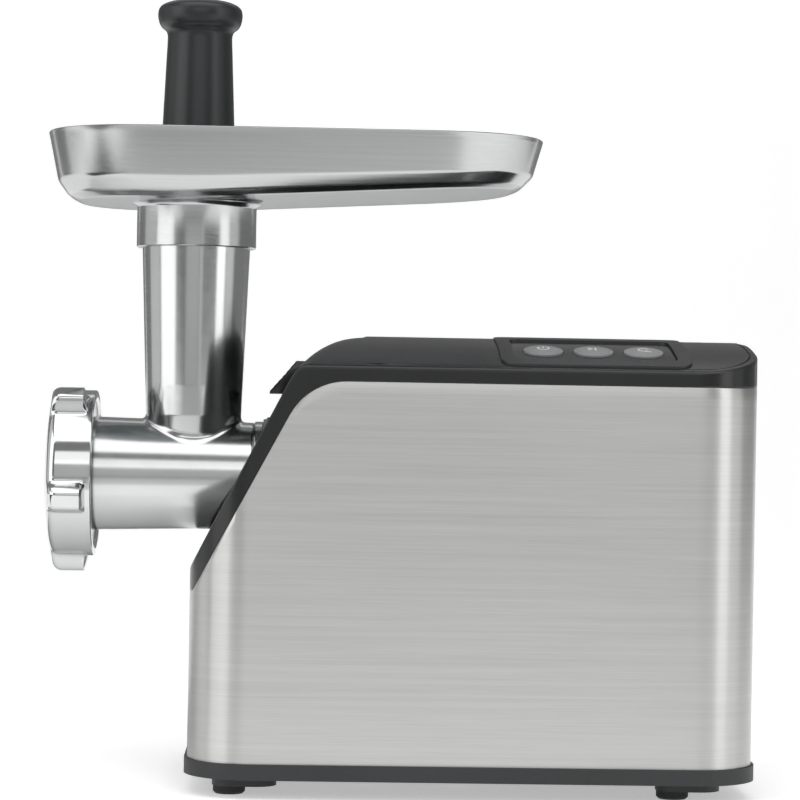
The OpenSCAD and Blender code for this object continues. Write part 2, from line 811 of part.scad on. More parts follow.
module gearbox_case() {
    color("#9fa3a6") difference() {
        union() {
            along_x(case_x0) linear_extrude(case_x1 - case_x0 - rest) {
                case_outline(case_wall);
                ear_discs(4.5);
            }
            for (y = leg_y) along_x(case_x0) translate([y - 5, pad_z + rest, 0])
                cube([10, first_p[1] - pad_z - 12, case_x1 - case_x0 - rest]);
        }
        along_x(case_x0 + case_t) linear_extrude(case_x1 - case_x0) case_outline(0);
        rod(case_x0 - eps, case_x0 + case_t + eps, out_shaft_r + 3 + seat, out_p);
        for (p = [second_p, first_p]) rod(case_x0 - eps, case_x0 + case_t + eps, shaft_r + 3 + seat, p);
        for (p = ears) rod(case_x1 - 12, case_x1 + eps, 1.6, p);
        for (a = [45 : 90 : 315]) rod(case_x0 - eps, case_x0 + case_t + eps, 1.95, out_p + polar(31.5, a));
        for (y = leg_y) translate([(case_x0 + case_x1) / 2, y, pad_z - eps]) cylinder(h = 13, r = 1.75);
    }
}

module gearbox_cover() {
    color("#9fa3a6") difference() {
        along_x(case_x1) linear_extrude(lid_t) {
            case_outline(case_wall);
            ear_discs(4.5);
        }
        rod(case_x1 - eps, lid_x1 + eps, out_shaft_r + 3 + seat, out_p);
        for (p = [second_p, first_p]) rod(case_x1 - eps, lid_x1 + eps, shaft_r + 3 + seat, p);
        rod(case_x1 - eps, lid_x1 + eps, shaft_r + 2, motor_p);
        for (p = ears) rod(case_x1 - eps, lid_x1 + eps, 1.9, p);
    }
}

module gearbox_screws() {
    color("#c9c9c4") for (p = ears) translate([lid_x1 + rest, p[0], p[1]]) rotate([0, -90, 0])
        screw(1.55, 15, 3.4, 2.2);
}

// A flanged bush from x0 to x1 about p for a shaft of radius r
module bush(x0, x1, r, p) {
    difference() {
        rod(x0, x1, r + 3, p);
        rod(x0 - eps, x1 + eps, r + run, p);
    }
}

module shaft_bushes() {
    color("#b08d57") for (side = [[case_x0, case_x0 + case_t], [case_x1, lid_x1]]) {
        bush(side[0] + 0.5, side[1], out_shaft_r, out_p);
        bush(side[0], side[1], shaft_r, second_p);
        bush(side[0], side[1], shaft_r, first_p);
    }
}

module cooling_fan() {
    color("#33373a") difference() {
        union() {
            rod(fan_x0, fan_x0 + fan_len, 8, motor_p);
            rod(fan_x0, fan_x0 + 1.6, 27, motor_p);
            for (k = [0 : 40 : 320]) along_x(fan_x0, motor_p) rotate([0, 0, k])
                translate([7, -0.9, 0]) cube([20, 1.8, fan_len]);
        }
        rod(fan_x0 - eps, fan_x0 + fan_len + eps, shaft_r + seat, motor_p);
    }
}

module armature_core() {
    color("#6f7478") along_x(stack_x0, motor_p) linear_extrude(stack_len) difference() {
        circle(armature_r);
        circle(shaft_r + seat);
        for (k = [0 : 30 : 330]) rotate(k) translate([armature_r - 9, -1.1]) square([12, 2.2]);
    }
}

module armature_winding() {
    color("#b4622d") {
        for (k = [0 : 30 : 330]) along_x(stack_x0 - 2, motor_p) rotate([0, 0, k])
            translate([armature_r - 8.6, -0.95, 0]) cube([7.4, 1.9, stack_len + 4]);
        for (x = [[stack_x0 - 9, stack_x0 - rest], [stack_x1 + rest, stack_x1 + 9]]) difference() {
            rod(x[0], x[1], armature_r - 2.4, motor_p);
            rod(x[0] - eps, x[1] + eps, shaft_r + seat, motor_p);
        }
    }
}

module commutator() {
    color("#b87333") along_x(comm_x0, motor_p) linear_extrude(comm_len) difference() {
        circle(comm_r);
        circle(shaft_r + seat);
        for (k = [0 : 15 : 345]) rotate(k) translate([comm_r - 2, -0.25]) square([4, 0.5]);
    }
}

module stator_core() {
    color("#6f7478") along_x(stack_x0, motor_p) linear_extrude(stack_len) difference() {
        round_rect(-stator_w / 2, stator_w / 2, -stator_h / 2, stator_h / 2, 8);
        circle(armature_r + air_gap);
        for (s = [-1, 1]) translate([s > 0 ? coil_in - 0.3 : -coil_out - 0.6, -22])
            square([coil_out - coil_in + 0.9, 44]);
        for (y = [-post_y, post_y], z = [-post_z, post_z]) translate([y, z]) circle(bolt_r + 0.1);
    }
}

// One saddle coil: two straight legs in the stator window and an arch over the armature at each end
module field_coil() {
    lead = 7;
    for (s = [-1, 1]) translate([stack_x0 - lead, s > 0 ? coil_in : -coil_out, 3])
        cube([stack_len + 2 * lead, coil_out - coil_in, 18]);
    for (x = [stack_x0 - lead, stack_x1 + 0.6]) {
        translate([x, 4 - coil_out, 23]) cube([lead - 0.6, 2 * coil_out - 8, 8]);
        for (s = [-1, 1]) translate([x, s > 0 ? coil_in : -coil_out, 3]) cube([lead - 0.6, coil_out - coil_in, 24]);
    }
}

module field_coils() {
    color("#b4622d") translate([0, 0, motor_z]) {
        field_coil();
        mirror([0, 0, 1]) field_coil();
    }
}

module motor_bearings() {
    color("#c0c3c5") for (x = [front_x0, rear_x0]) difference() {
        rod(x, x + bearing_w, bearing_r, motor_p);
        rod(x - eps, x + bearing_w + eps, shaft_r + run, motor_p);
    }
}

// End bracket: plate with feet on the pads, bearing boss and four posts that reach the stator
module bracket(x0, post_x0, post_x1) {
    difference() {
        union() {
            along_x(x0, motor_p) linear_extrude(bracket_t)
                round_rect(-stator_w / 2, stator_w / 2, -stator_h / 2, stator_h / 2, 8);
            for (s = [-1, 1]) translate([x0, s * (stator_w / 2 - 10) - 7, pad_z + rest])
                cube([bracket_t, 14, motor_z - stator_h / 2 - pad_z + 12]);
            for (s = [-1, 1]) translate([x0 + bracket_t - 12, s * (stator_w / 2 - 10) - 7, pad_z + rest])
                cube([12, 14, 3]);
            rod(x0, x0 + bearing_w + 1.5, bearing_r + 3, motor_p);
            for (y = [-post_y, post_y], z = [-post_z, post_z]) rod(post_x0, post_x1, post_r, motor_p + [y, z]);
        }
        rod(x0 - eps, x0 + bearing_w + seat, bearing_r + seat, motor_p);
        rod(x0 - eps, x0 + bearing_w + 3, bearing_r - 3, motor_p);
        for (y = [-post_y, post_y], z = [-post_z, post_z])
            rod(min(x0, post_x0) - eps, max(x0 + bracket_t, post_x1) + eps, bolt_r + 0.1, motor_p + [y, z]);
        for (s = [-1, 1]) translate([x0 - 4, s * (stator_w / 2 - 10), pad_z - eps]) cylinder(h = 6, r = 1.95);
    }
}

module motor_front_bracket() {
    color("#9fa3a6") bracket(front_x0, front_x0 + 1, stack_x0 - rest);
}

module motor_rear_bracket() {
    arm_x0 = comm_x0 - 2;
    color("#9fa3a6") {
        bracket(rear_x0, stack_x1 + rest, rear_x0 + 1);
        difference() {
            for (s = [-1, 1]) translate([arm_x0, s * 31 - 5, motor_z - 10]) cube([rear_x0 - arm_x0 + 1, 10, 20]);
            for (s = [-1, 1]) translate([comm_x0 + 1.2, s * 31 - 6, motor_z - 5.7]) cube([9.6, 12, 11.4]);
        }
    }
}

module motor_bolts() {
    color("#c9c9c4") for (y = [-post_y, post_y], z = [-post_z, post_z])
        translate([rear_x0 + bracket_t + rest, y, motor_z + z]) rotate([0, -90, 0])
            screw(bolt_r, rear_x0 + bracket_t - front_x0 - 1, 3.4, 2.4);
}

module brush_holders() {
    color("#c7a24a") for (s = [-1, 1]) translate([0, 0, motor_z]) difference() {
        translate([comm_x0 + 1.3, s > 0 ? comm_r + 2 : -38, -5.6]) cube([9.4, 36 - comm_r, 11.2]);
        translate([comm_x0 + 2.2, s > 0 ? comm_r + 1 : -37, -4.7]) cube([7.6, 36 - comm_r, 9.4]);
    }
}

module carbon_brushes() {
    color("#2a2a2a") for (s = [-1, 1]) difference() {
        translate([comm_x0 + 2.4, s > 0 ? comm_r - 2 : -comm_r - 13, motor_z - 4.5]) cube([7.2, 15, 9]);
        rod(comm_x0, comm_x0 + comm_len, comm_r + 0.3, motor_p);
    }
}

module brush_springs() {
    color("#b8b8b8") for (s = [-1, 1]) translate([comm_x0 + 6, s * (comm_r + 13 + rest), motor_z])
        rotate([-s * 90, 0, 0]) coil(3.2, 0.35, 4, 11.6);
}

// Places its children where the chassis screws stand: gearbox legs and bracket feet
module chassis_places() {
    for (y = leg_y) translate([(case_x0 + case_x1) / 2, y, 0]) children();
    for (x = [front_x0, rear_x0], s = [-1, 1]) translate([x - 4, s * (stator_w / 2 - 10), 0]) children();
}

module chassis_screws() {
    color("#c9c9c4") chassis_places() translate([0, 0, base_z + 2 - rest]) screw(1.7, pad_z - base_z + 1, 3.4, 1.8);
}

module base_pan() {
    color("#303435") difference() {
        union() {
            translate([0, 0, base_z]) linear_extrude(rim_h - rest) plan(-base_lip);
            translate([0, 0, base_z]) linear_extrude(rim_h + 3) plan(steel_t + 0.3);
            for (i = [0, 1], s = [-1, 1]) translate([0, 0, foot_h])
                linear_extrude(boss_h + eps) foot_boss(foot_x[i] - 7.5, s * foot_y);
        }
        difference() {
            translate([0, 0, pan_z]) linear_extrude(rim_h + 4) plan(steel_t + 2.3);
            for (x = tower_x, y = [-foot_y, foot_y]) translate([x, y, 0]) cylinder(h = pad_z - rest, r = 7);
            chassis_places() cylinder(h = pad_z, r = 8);
        }
        for (x = tower_x, y = [-foot_y, foot_y]) translate([x, y, foot_h - eps]) {
            cylinder(h = 30, r = 1.9);
            cylinder(h = eps + boss_h + seat_h, r = 4);
        }
        chassis_places() translate([0, 0, base_z - eps]) {
            cylinder(h = 30, r = 1.8);
            cylinder(h = eps + 2, r = 3.8);
        }
        for (x = foot_x, y = [-foot_y, foot_y]) translate([x, y, foot_h - eps]) cylinder(h = 4, r = 3.05);
        for (i = [0 : 9], s = [-1, 1]) translate([stack_x0 - 8 + 6 * i, s * 16, base_z - eps])
            linear_extrude(floor_t + 2 * eps) round_rect(-1.5, 1.5, -12, 12, 1.4);
    }
}

// Oblong boss with round ends, one end at x0, along X
module foot_boss(x0, y) {
    round_rect(x0, x0 + boss_len, y - boss_w / 2, y + boss_w / 2, boss_w / 2 - 0.1);
}

module rubber_feet() {
    color("#1b1c1d") for (x = foot_x, y = [-foot_y, foot_y]) translate([x, y, 0]) {
        rotate_extrude() polygon([[0, 0], [foot_r - 1, 0], [foot_r, 1], [foot_r, foot_h - rest], [0, foot_h - rest]]);
        cylinder(h = foot_h + 2.5, r = 3);
    }
}

module base_screws() {
    color("#c9c9c4") for (x = tower_x, y = [-foot_y, foot_y]) translate([x, y, base_z + seat_h - rest])
        screw(1.55, 30, 3.6, 2.2);
}

module cord_gland() {
    color("#26282a") difference() {
        union() {
            rod(steel_x1 + rest, base_x1 - 0.05, 9, [gland_y, gland_z]);
            rod(steel_x1 - gland_len, steel_x1 + rest, 6.4, [gland_y, gland_z]);
            rod(steel_x1 - steel_t - 4, steel_x1 - steel_t - rest, 9, [gland_y, gland_z]);
        }
        rod(steel_x1 - gland_len - eps, base_x1 + eps, gland_r, [gland_y, gland_z]);
    }
}

module head_barrel() {
    color("#c3c6c7") difference() {
        union() {
            rod(barrel_x0, nut_x1 - 1.4, thread_r, out_p);
            rod(nut_x1 - 2, flange_x, barrel_front_r, out_p, barrel_rear_r);
            rod(flange_x, mouth_x - rest, flange_r, out_p);
            rod(mouth_x - 0.5, neck_x1, neck_r, out_p);
            along_x(lug_x0, out_p) linear_extrude(lug_len) lug_sectors(neck_r - 2, neck_r + lug_h, 0, 0);
            translate([tube_x, 0, axis_z]) cylinder(h = collar_z - axis_z - 1, r1 = tube_low_r - 0.75, r2 = tube_top_r);
            translate([tube_x, 0, collar_z - 1.5]) cylinder(h = tube_z - collar_z + 1.5, r = tube_top_r);
        }
        rod(barrel_x0 - eps, plate_x1, plate_r + run, out_p);
        rod(plate_x1 - eps, chamber_x1, knife_r + 1, out_p);
        rod(chamber_x1 - eps, wall_x0, bore_r, out_p);
        rod(wall_x0 - eps, neck_x1 + eps, journal_r + run, out_p);
        translate([tube_x, 0, ledge_z]) cylinder(h = tube_z - ledge_z + 0.01, r1 = tube_bore_low, r2 = tube_bore_top);
        translate([tube_x, 0, axis_z]) cylinder(h = ledge_z - axis_z + eps, r = throat_r);
        along_x(mouth_x - 2, out_p) linear_extrude(2 + eps)
            sector(neck_r + 0.4, flange_r + eps, 90 - 9 - twist_a, 90 + 9);
    }
    color("#c3c6c7") rod(barrel_x0, plate_x1 - 0.6, 1.4, out_p - [0, plate_r]);
}

// Square prism along X, centred on the barrel axis
module square_bar(x0, x1, w) {
    along_x(x0, out_p) translate([-w / 2, -w / 2, 0]) cube([w, w, x1 - x0]);
}

module auger() {
    core_x0 = knife_x1 + 0.4;
    flight_a = 360 * flight_t / auger_pitch;
    flight_r = bore_r - 0.6;
    color("#b7babb") {
        rod(plate_x0 + 0.6, plate_x1 + 1, 4, out_p);
        square_bar(plate_x1 + 0.2, core_x0 + 1, 9);
        rod(core_x0, auger_x1, 7.5, out_p, journal_r);
        rod(auger_x1 - 2.4, auger_x1, flight_r - 3, out_p);
        rod(auger_x1 - eps, neck_x1 + 0.2, journal_r, out_p);
        square_bar(neck_x1, neck_x1 + 0.5 + tang_len, tang_w);
        along_x(core_x0, out_p) linear_extrude(auger_x1 - 1.4 - core_x0, slices = 60, segments = 0,
            twist = -360 * (auger_x1 - 1.4 - core_x0) / auger_pitch) polygon(concat(
                [for (i = [0 : 4]) polar(flight_r, flight_a * i / 4)],
                [for (i = [4 : -1 : 0]) polar(6, flight_a * i / 4)]));
    }
}

module auger_washer() {
    color("#f0efe8") difference() {
        rod(auger_x1 + rest, auger_x1 + washer_t, 17, out_p);
        rod(auger_x1 - eps, auger_x1 + washer_t + eps, journal_r + seat, out_p);
    }
}

module knife() {
    color("#d4d6d8") difference() {
        along_x(plate_x1 + 0.15, out_p) {
            cylinder(h = knife_t, r = 9.5);
            for (k = [0 : 90 : 270]) rotate([0, 0, k]) linear_extrude(knife_t)
                polygon([[6, -4.5], [knife_r - 0.6, -4.5], [knife_r - 1.6, -1], [14, 4.5], [6, 6]]);
        }
        square_bar(plate_x1 - eps, knife_x1 + eps, 9.1);
    }
}

module cutting_plate() {
    color("#cfd1d3") difference() {
        rod(plate_x0, plate_x1, plate_r, out_p);
        rod(plate_x0 - eps, plate_x1 + eps, 4 + run, out_p);
        for (ring = [[9.2, 8], [14.6, 13], [20, 18]], i = [0 : ring[1] - 1])
            rod(plate_x0 - eps, plate_x1 + eps, 2.1, out_p + polar(ring[0], 360 * i / ring[1]));
        rod(plate_x0 - eps, plate_x1 + eps, 1.7, out_p - [0, plate_r]);
    }
}

module lobe_outline() {
    circle(nut_r);
    for (k = [0 : lobes - 1]) rotate(198 - 360 * k / lobes)
        polygon([[nut_r - 5, -9.6], [nut_r - 0.4, -9.4], [lobe_r, -3.3], [lobe_r, 3.3], [nut_r - 0.4, 9.4], [nut_r - 5, 9.6]]);
}

module ring_nut() {
    color("#cdd0d1") difference() {
        intersection() {
            along_x(nut_x0, out_p) linear_extrude(nut_len) lobe_outline();
            along_x(nut_x0, out_p) rotate_extrude() polygon([[0, 0], [nut_r + 0.5, 0], [lobe_r - 1.4, 4.2], [lobe_r, 8],
                [lobe_r, nut_len - 2.4], [lobe_r - 2.4, nut_len], [0, nut_len]]);
        }
        rod(nut_x0 - eps, nut_x1 + eps, mouth_r, out_p);
        rod(nut_x0 - eps, nut_x0 + lip_t + eps, mouth_r + 3.2, out_p, mouth_r - 1);
        rod(nut_x0 + lip_t, nut_x1 + eps, thread_r + run, out_p);
    }
}

// One level of the tray outline, inset by t, as a thin slab at height z
module tray_slab(t, z) {
    translate([0, 0, z]) linear_extrude(0.02) round_rect(tray_x0 + t, tray_x0 + tray_len - t,
        -tray_w / 2 + t, tray_w / 2 - t, 34 - t, $fn = 32);
}

module food_tray() {
    color("#c9cccd") difference() {
        union() {
            difference() {
                hull() {
                    tray_slab(0, rim_z - 0.02);
                    tray_slab(4, tray_z + 9);
                    tray_slab(7, tray_z + 4);
                    tray_slab(15, tray_z);
                }
                hull() {
                    tray_slab(tray_t, rim_z + eps);
                    tray_slab(4 + tray_t, tray_z + 9);
                    tray_slab(7 + tray_t, tray_z + 4 + tray_t);
                    tray_slab(15 + tray_t, tray_z + tray_t);
                }
            }
            translate([tube_x, 0, collar_z]) cylinder(h = collar_h + 0.6, r = collar_r);
        }
        translate([tube_x, 0, collar_z - eps]) cylinder(h = tube_z + 0.3 - collar_z + eps, r = tube_top_r + run);
        translate([tube_x, 0, collar_z]) cylinder(h = collar_h + 5, r = tray_hole_r);
    }
}

module pusher() {
    knob_z = pusher_z - knob_h;
    color("#2b2e30") translate([tube_x, 0, 0]) {
        translate([0, 0, pusher_z0]) cylinder(h = taper_z - pusher_z0, r = pusher_r);
        translate([0, 0, taper_z - 0.01]) cylinder(h = knob_z - taper_z + 1, r1 = pusher_r, r2 = grip_r);
        translate([0, 0, knob_z]) rotate_extrude() {
            polygon([[0, 0], [grip_r, 0], [knob_r - 4, 3.4], [knob_r - 6, knob_h - 1], [knob_r - 9, knob_h - 0.3],
                [0, knob_h]]);
            translate([knob_r - 5.4, knob_h - 6.6]) circle(5.4);
        }
    }
}

steel_body();
top_cover();
base_pan();
rubber_feet();
base_screws();
cord_gland();
panel_frame();
panel_plate();
button_power();
button_slow();
button_reverse();
spring_power();
spring_slow();
spring_reverse();
push_switches();
control_board();
board_screws();
release_lever();
lever_pin();
lever_spring();
head_socket();
socket_screws();
gearbox_case();
gearbox_cover();
gearbox_screws();
shaft_bushes();
output_shaft();
output_gear();
drive_coupling();
second_shaft();
second_gear();
second_pinion();
first_shaft();
first_gear();
first_pinion();
motor_shaft();
motor_pinion();
cooling_fan();
armature_core();
armature_winding();
commutator();
stator_core();
field_coils();
motor_bearings();
motor_front_bracket();
motor_rear_bracket();
motor_bolts();
chassis_screws();
brush_holders();
carbon_brushes();
brush_springs();
head_barrel();
auger();
auger_washer();
knife();
cutting_plate();
ring_nut();
food_tray();
pusher();
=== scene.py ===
"""Looks of an electric meat grinder: every surface a buyer sees, laid over its packed construction model."""

import json

import bmesh
import bpy
import numpy as np
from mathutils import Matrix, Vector


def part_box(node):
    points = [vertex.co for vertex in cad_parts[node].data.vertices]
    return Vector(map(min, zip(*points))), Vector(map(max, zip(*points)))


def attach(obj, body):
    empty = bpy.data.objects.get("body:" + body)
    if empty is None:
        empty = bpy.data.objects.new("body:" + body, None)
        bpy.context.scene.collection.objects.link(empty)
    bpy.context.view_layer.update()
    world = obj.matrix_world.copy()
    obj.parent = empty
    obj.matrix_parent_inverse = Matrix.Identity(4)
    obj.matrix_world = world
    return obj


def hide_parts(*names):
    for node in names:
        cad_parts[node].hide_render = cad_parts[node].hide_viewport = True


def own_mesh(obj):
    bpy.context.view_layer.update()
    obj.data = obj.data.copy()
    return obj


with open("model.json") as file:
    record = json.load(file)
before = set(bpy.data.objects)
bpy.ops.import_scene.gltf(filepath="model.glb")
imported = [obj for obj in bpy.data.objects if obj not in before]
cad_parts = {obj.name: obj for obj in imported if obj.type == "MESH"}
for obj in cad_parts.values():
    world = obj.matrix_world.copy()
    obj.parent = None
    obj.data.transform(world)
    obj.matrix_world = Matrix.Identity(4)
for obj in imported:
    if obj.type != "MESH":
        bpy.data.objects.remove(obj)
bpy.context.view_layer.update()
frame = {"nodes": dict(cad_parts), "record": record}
nodes = frame["nodes"]
joints = {joint["name"]: joint for joint in frame["record"]["behaviour"]["joints"]}
MM = 0.001


# ----------------------------------------
# Steel wrap
# One sheet of 1.2 mm stainless steel, bent round the four corners of the housing and brushed along its
# length. It stands on the base pan, and the cover sits on its upper edge.
class Finish:
    """A material whose shader nodes are added one by one; set() gives the Principled shader its values."""

    def __init__(self, name, **values):
        self.material = bpy.data.materials.new(name)
        self.material.use_nodes = True
        self.tree = self.material.node_tree
        self.shader = self.tree.nodes["Principled BSDF"]
        self.set(**values)

    def set(self, **values):
        """Sets or links sockets of the shader, named with underscores in place of spaces."""
        for name, value in values.items():
            self._give(self.shader.inputs[name.replace("_", " ")], value)

    def _give(self, socket, value):
        if isinstance(value, Amount):
            self.tree.links.new(value.socket, socket)
        elif socket.type == "RGBA":
            socket.default_value = (*value, 1.0)
        else:
            socket.default_value = value

    def node(self, kind, settings=None, inputs=None, output=0):
        """Adds a node: its settings first, then the values or links of its sockets."""
        made = self.tree.nodes.new("ShaderNode" + kind)
        for name, value in (settings or {}).items():
            setattr(made, name, value)
        for name, value in (inputs or {}).items():
            self._give(made.inputs[name], value)
        return Amount(self, made.outputs[output])

    def place(self, scale=1.0):
        """Object coordinates in metres, stretched by scale: one number, or one for each axis."""
        scale = scale if isinstance(scale, tuple) else (scale,) * 3
        return self.node("Mapping", {"vector_type": "POINT"},
                         {"Vector": self.node("TexCoord", output=3), "Scale": scale})

    def noise(self, scale, detail=3.0, roughness=0.5):
        """Noise from 0 to 1 about 0.5, scale cells a metre along each axis."""
        return self.node("TexNoise", None, {"Vector": self.place(scale), "Scale": 1.0,
                                            "Detail": detail, "Roughness": roughness})

    def part(self, vector, axis):
        """One axis of a vector."""
        return self.node("SeparateXYZ", None, {"Vector": vector}, axis)

    def stripes(self, axis, pitch):
        """A wave from 0 to 1 that repeats every pitch metres along an axis."""
        return (self.part(self.place(), axis) * (2 * np.pi / pitch)).sine() * 0.5 + 0.5

    def band(self, value, low, high):
        """Maps value from low..high to 0..1 with soft ends."""
        return self.node("MapRange", {"interpolation_type": "SMOOTHSTEP"},
                         {"Value": value, "From Min": low, "From Max": high, "To Min": 0.0, "To Max": 1.0})

    def blend(self, factor, first, second):
        """A colour between first and second."""
        return self.node("Mix", {"data_type": "RGBA"}, {0: factor, 6: first, 7: second}, 2)

    def relief(self, height, depth, strength):
        """Feeds the shader's normal with a bump of height times depth metres."""
        self.set(Normal=self.node("Bump", None, {"Height": height, "Distance": depth, "Strength": strength}))

    def grained(self, grain, dark, light, rough, spread, depth, strength, tone=None):
        """The usual make-up: a colour between dark and light that follows tone or else the grain, roughness
        that grows from rough by spread with the grain, and the grain as a relief depth metres high."""
        self.set(Base_Color=self.blend(grain if tone is None else tone, dark, light),
                 Roughness=rough + spread * grain)
        self.relief(grain, depth, strength)


class Amount:
    """A number that varies over a surface. Arithmetic on it adds Math nodes to its material."""

    def __init__(self, finish, socket):
        self.finish, self.socket = finish, socket

    def _math(self, operation, *values):
        return self.finish.node("Math", {"operation": operation}, dict(enumerate(values)))

    def __add__(self, other):
        return self._math("ADD", self, other)

    def __rsub__(self, other):
        return self._math("SUBTRACT", other, self)

    def __mul__(self, other):
        return self._math("MULTIPLY", self, other)

    def sine(self):
        """The sine of the number, which counts as radians."""
        return self._math("SINE", self)

    __radd__, __rmul__ = __add__, __mul__


def grid_quads(rows, columns, round_rows, round_columns, first):
    """Quads of a grid of points stored row by row from index first; a round direction joins its two ends."""
    row = np.arange(rows if round_rows else rows - 1)
    column = np.arange(columns if round_columns else columns - 1)
    r, c = np.meshgrid(row, column, indexing="ij")
    r2, c2 = (r + 1) % rows, (c + 1) % columns
    corners = [r * columns + c, r * columns + c2, r2 * columns + c2, r2 * columns + c]
    return first + np.stack(corners, -1).reshape(-1, 4)


def sheet_metal(name, *grids, sharp=38.0, weld=2e-5):
    """A mesh object from grids of points, each (points, round rows, round columns): doubles are merged,
    normals point outwards, and edges that turn by more than sharp degrees stay crisp."""
    points, faces, first = [], [], 0
    for grid, round_rows, round_columns in grids:
        rows, columns = grid.shape[:2]
        faces.append(grid_quads(rows, columns, round_rows, round_columns, first))
        points.append(grid.reshape(-1, 3))
        first += rows * columns
    mesh = bpy.data.meshes.new(name)
    mesh.from_pydata(np.concatenate(points).tolist(), [], np.concatenate(faces).tolist())
    return solid_piece(name, mesh, sharp, weld)


def solid_piece(name, mesh, sharp=38.0, weld=2e-5):
    """Merges a mesh's doubles, turns its faces outwards, shades it smooth and makes its object."""
    work = bmesh.new()
    work.from_mesh(mesh)
    bmesh.ops.remove_doubles(work, verts=work.verts, dist=weld)
    bmesh.ops.dissolve_degenerate(work, edges=work.edges, dist=weld / 2)
    bmesh.ops.recalc_face_normals(work, faces=work.faces)
    work.to_mesh(mesh)
    work.free()
    mesh.shade_smooth()
    mesh.set_sharp_from_angle(angle=np.radians(sharp))
    piece = bpy.data.objects.new(name, mesh)
    bpy.context.collection.objects.link(piece)
    return piece


def fit_out(piece, body, slot, finish, *replaced):
    """Puts a piece on a body, gives it its finish in a material slot, and hides the nodes it stands for. slot
    is not used.
    """
    piece.data.materials.clear()
    piece.data.materials.append(finish.material)
    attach(piece, body)
    if replaced:
        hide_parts(*replaced)


def dress(finish, *names):
    """Gives CAD nodes that show in their own shape their finish."""
    for name in names:
        for spot in nodes[name].material_slots:
            spot.material = finish.material


def box_of(node):
    """The low and the high corner of the box round a CAD node."""
    return [np.array(corner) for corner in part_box(node)]


steel_low, steel_high = box_of("steel_body")
corner_r = 28 * MM
plan_mid = (steel_low[:2] + steel_high[:2]) / 2
plan_half = (steel_high[:2] - steel_low[:2]) / 2
corner_signs = np.array([[1, 1], [-1, 1], [-1, -1], [1, -1]])
side_steps, end_steps, bend_steps = 120, 70, 26


def footprint(inset):
    """The housing's outline moved inwards by inset, anticlockwise: corner centres joined by straight runs,
    plus the corner radius less the inset along the outward normal. Returns points (n, 2) and normals."""
    centres = (plan_half - corner_r) * corner_signs
    spine, normal = [], []
    for k in range(4):
        angle = np.pi / 2 * k + np.linspace(0, np.pi / 2, bend_steps)
        spine.append(np.repeat(centres[k:k + 1], bend_steps, 0))
        normal.append(np.stack([np.cos(angle), np.sin(angle)], -1))
        run = np.linspace(0, 1, end_steps if k % 2 else side_steps)[1:-1, None]
        spine.append(centres[k] + (centres[(k + 1) % 4] - centres[k]) * run)
        normal.append(np.repeat(normal[-1][-1:], len(run), 0))
    spine, normal = np.concatenate(spine), np.concatenate(normal)
    return plan_mid + spine + (corner_r - inset) * normal, normal


slope_angle, slope_foot = np.radians(62.8), 97.4 * MM
seam_angle, seam_foot = np.radians(62.0), 88 * MM
seam_start = steel_low[0] + 1.6 * MM
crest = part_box("top_cover")[1][2]
bend_r, rear_r, rear_drop = 42 * MM, 2.2 * MM, 1.6 * MM


def side_height(x, foot, angle, start, top, front_r, rear, fall):
    """Height over x of a side view: a slope that rises from (start, foot), tangent to an arc of radius
    front_r that meets a flat top, which ends in a quarter ellipse at the back, rear long and fall high."""
    lead = start + (top - foot) / np.tan(angle) + front_r * np.tan(angle / 2)
    slope = foot + (x - start) * np.tan(angle)
    arc = top - front_r + np.sqrt(np.clip(front_r**2 - (x - lead)**2, 0, None))
    height = np.where(x < lead - front_r * np.sin(angle), slope, np.where(x < lead, arc, top))
    drop = np.clip(x - (steel_high[0] - rear), 0, rear)
    return height - fall + fall * np.sqrt(1 - (drop / rear)**2)


def seam_height(x):
    """Height of the seam between the steel and the cover: level at its foot, up the front, level above."""
    slanted = side_height(x, seam_foot, seam_angle, seam_start, steel_high[2], bend_r - 14 * MM, 1e-9, 0)
    return np.maximum(slanted, seam_foot)


steel_t = 1.2 * MM
edge_r = 0.35 * MM
outer_rows, inner_rows = 30, 12
# From the outer foot over the top edge to the inner foot: height up the sheet from 0 to 1, inset from the
# outer face, and the drop below the seam that rounds the edge
rise = np.concatenate([np.linspace(0, 1, outer_rows), [1, 1, 1], np.linspace(1, 0, inner_rows)])
inset = np.concatenate([np.zeros(outer_rows), [0.12 * MM, edge_r, steel_t - edge_r],
                        np.full(inner_rows, steel_t)])
lower = np.concatenate([np.zeros(outer_rows - 1), [edge_r, 0.1 * MM, 0, 0, edge_r], np.zeros(inner_rows - 1)])
rings = []
for up, depth, down in zip(rise, inset, lower):
    ring, _ = footprint(depth)
    top = seam_height(ring[:, 0]) - 0.1 * MM - down
    height = steel_low[2] + (top - steel_low[2]) * up
    rings.append(np.column_stack([ring, height]))
steel_wrap = sheet_metal("steel_wrap", (np.array(rings), True, True))

brushed = Finish("brushed_stainless", Metallic=1.0, Anisotropic=0.75, Anisotropic_Rotation=0.25)
hairline = brushed.noise((30, 30, 3600), detail=2.0)
streak = brushed.noise((6, 6, 700), detail=3.0, roughness=0.6)
cloud = brushed.noise((9, 9, 14), detail=2.0)
brushed.set(Base_Color=brushed.blend(hairline * 0.5 + streak * 0.5, (0.44, 0.44, 0.43), (0.67, 0.67, 0.655)),
            Roughness=0.27 + 0.10 * streak + 0.05 * cloud)
brushed.relief(hairline * 0.7 + streak * 0.3, 6e-6, 0.35)
fit_out(steel_wrap, "root", "brushed_body_steel", brushed, "steel_body")


# ----------------------------------------
# Top cover
# A black ABS moulding with a crowned top that runs down the front as a slope. Its edge is a smooth black
# band round the top of the steel; the tongue inside it snaps behind the sheet.
half_width = plan_half[1]
crown_rise = 14.6 * MM
crown_r = (half_width**2 + crown_rise**2) / (2 * crown_rise)
top_round = 1.1 * MM
cover_t = 2.6 * MM


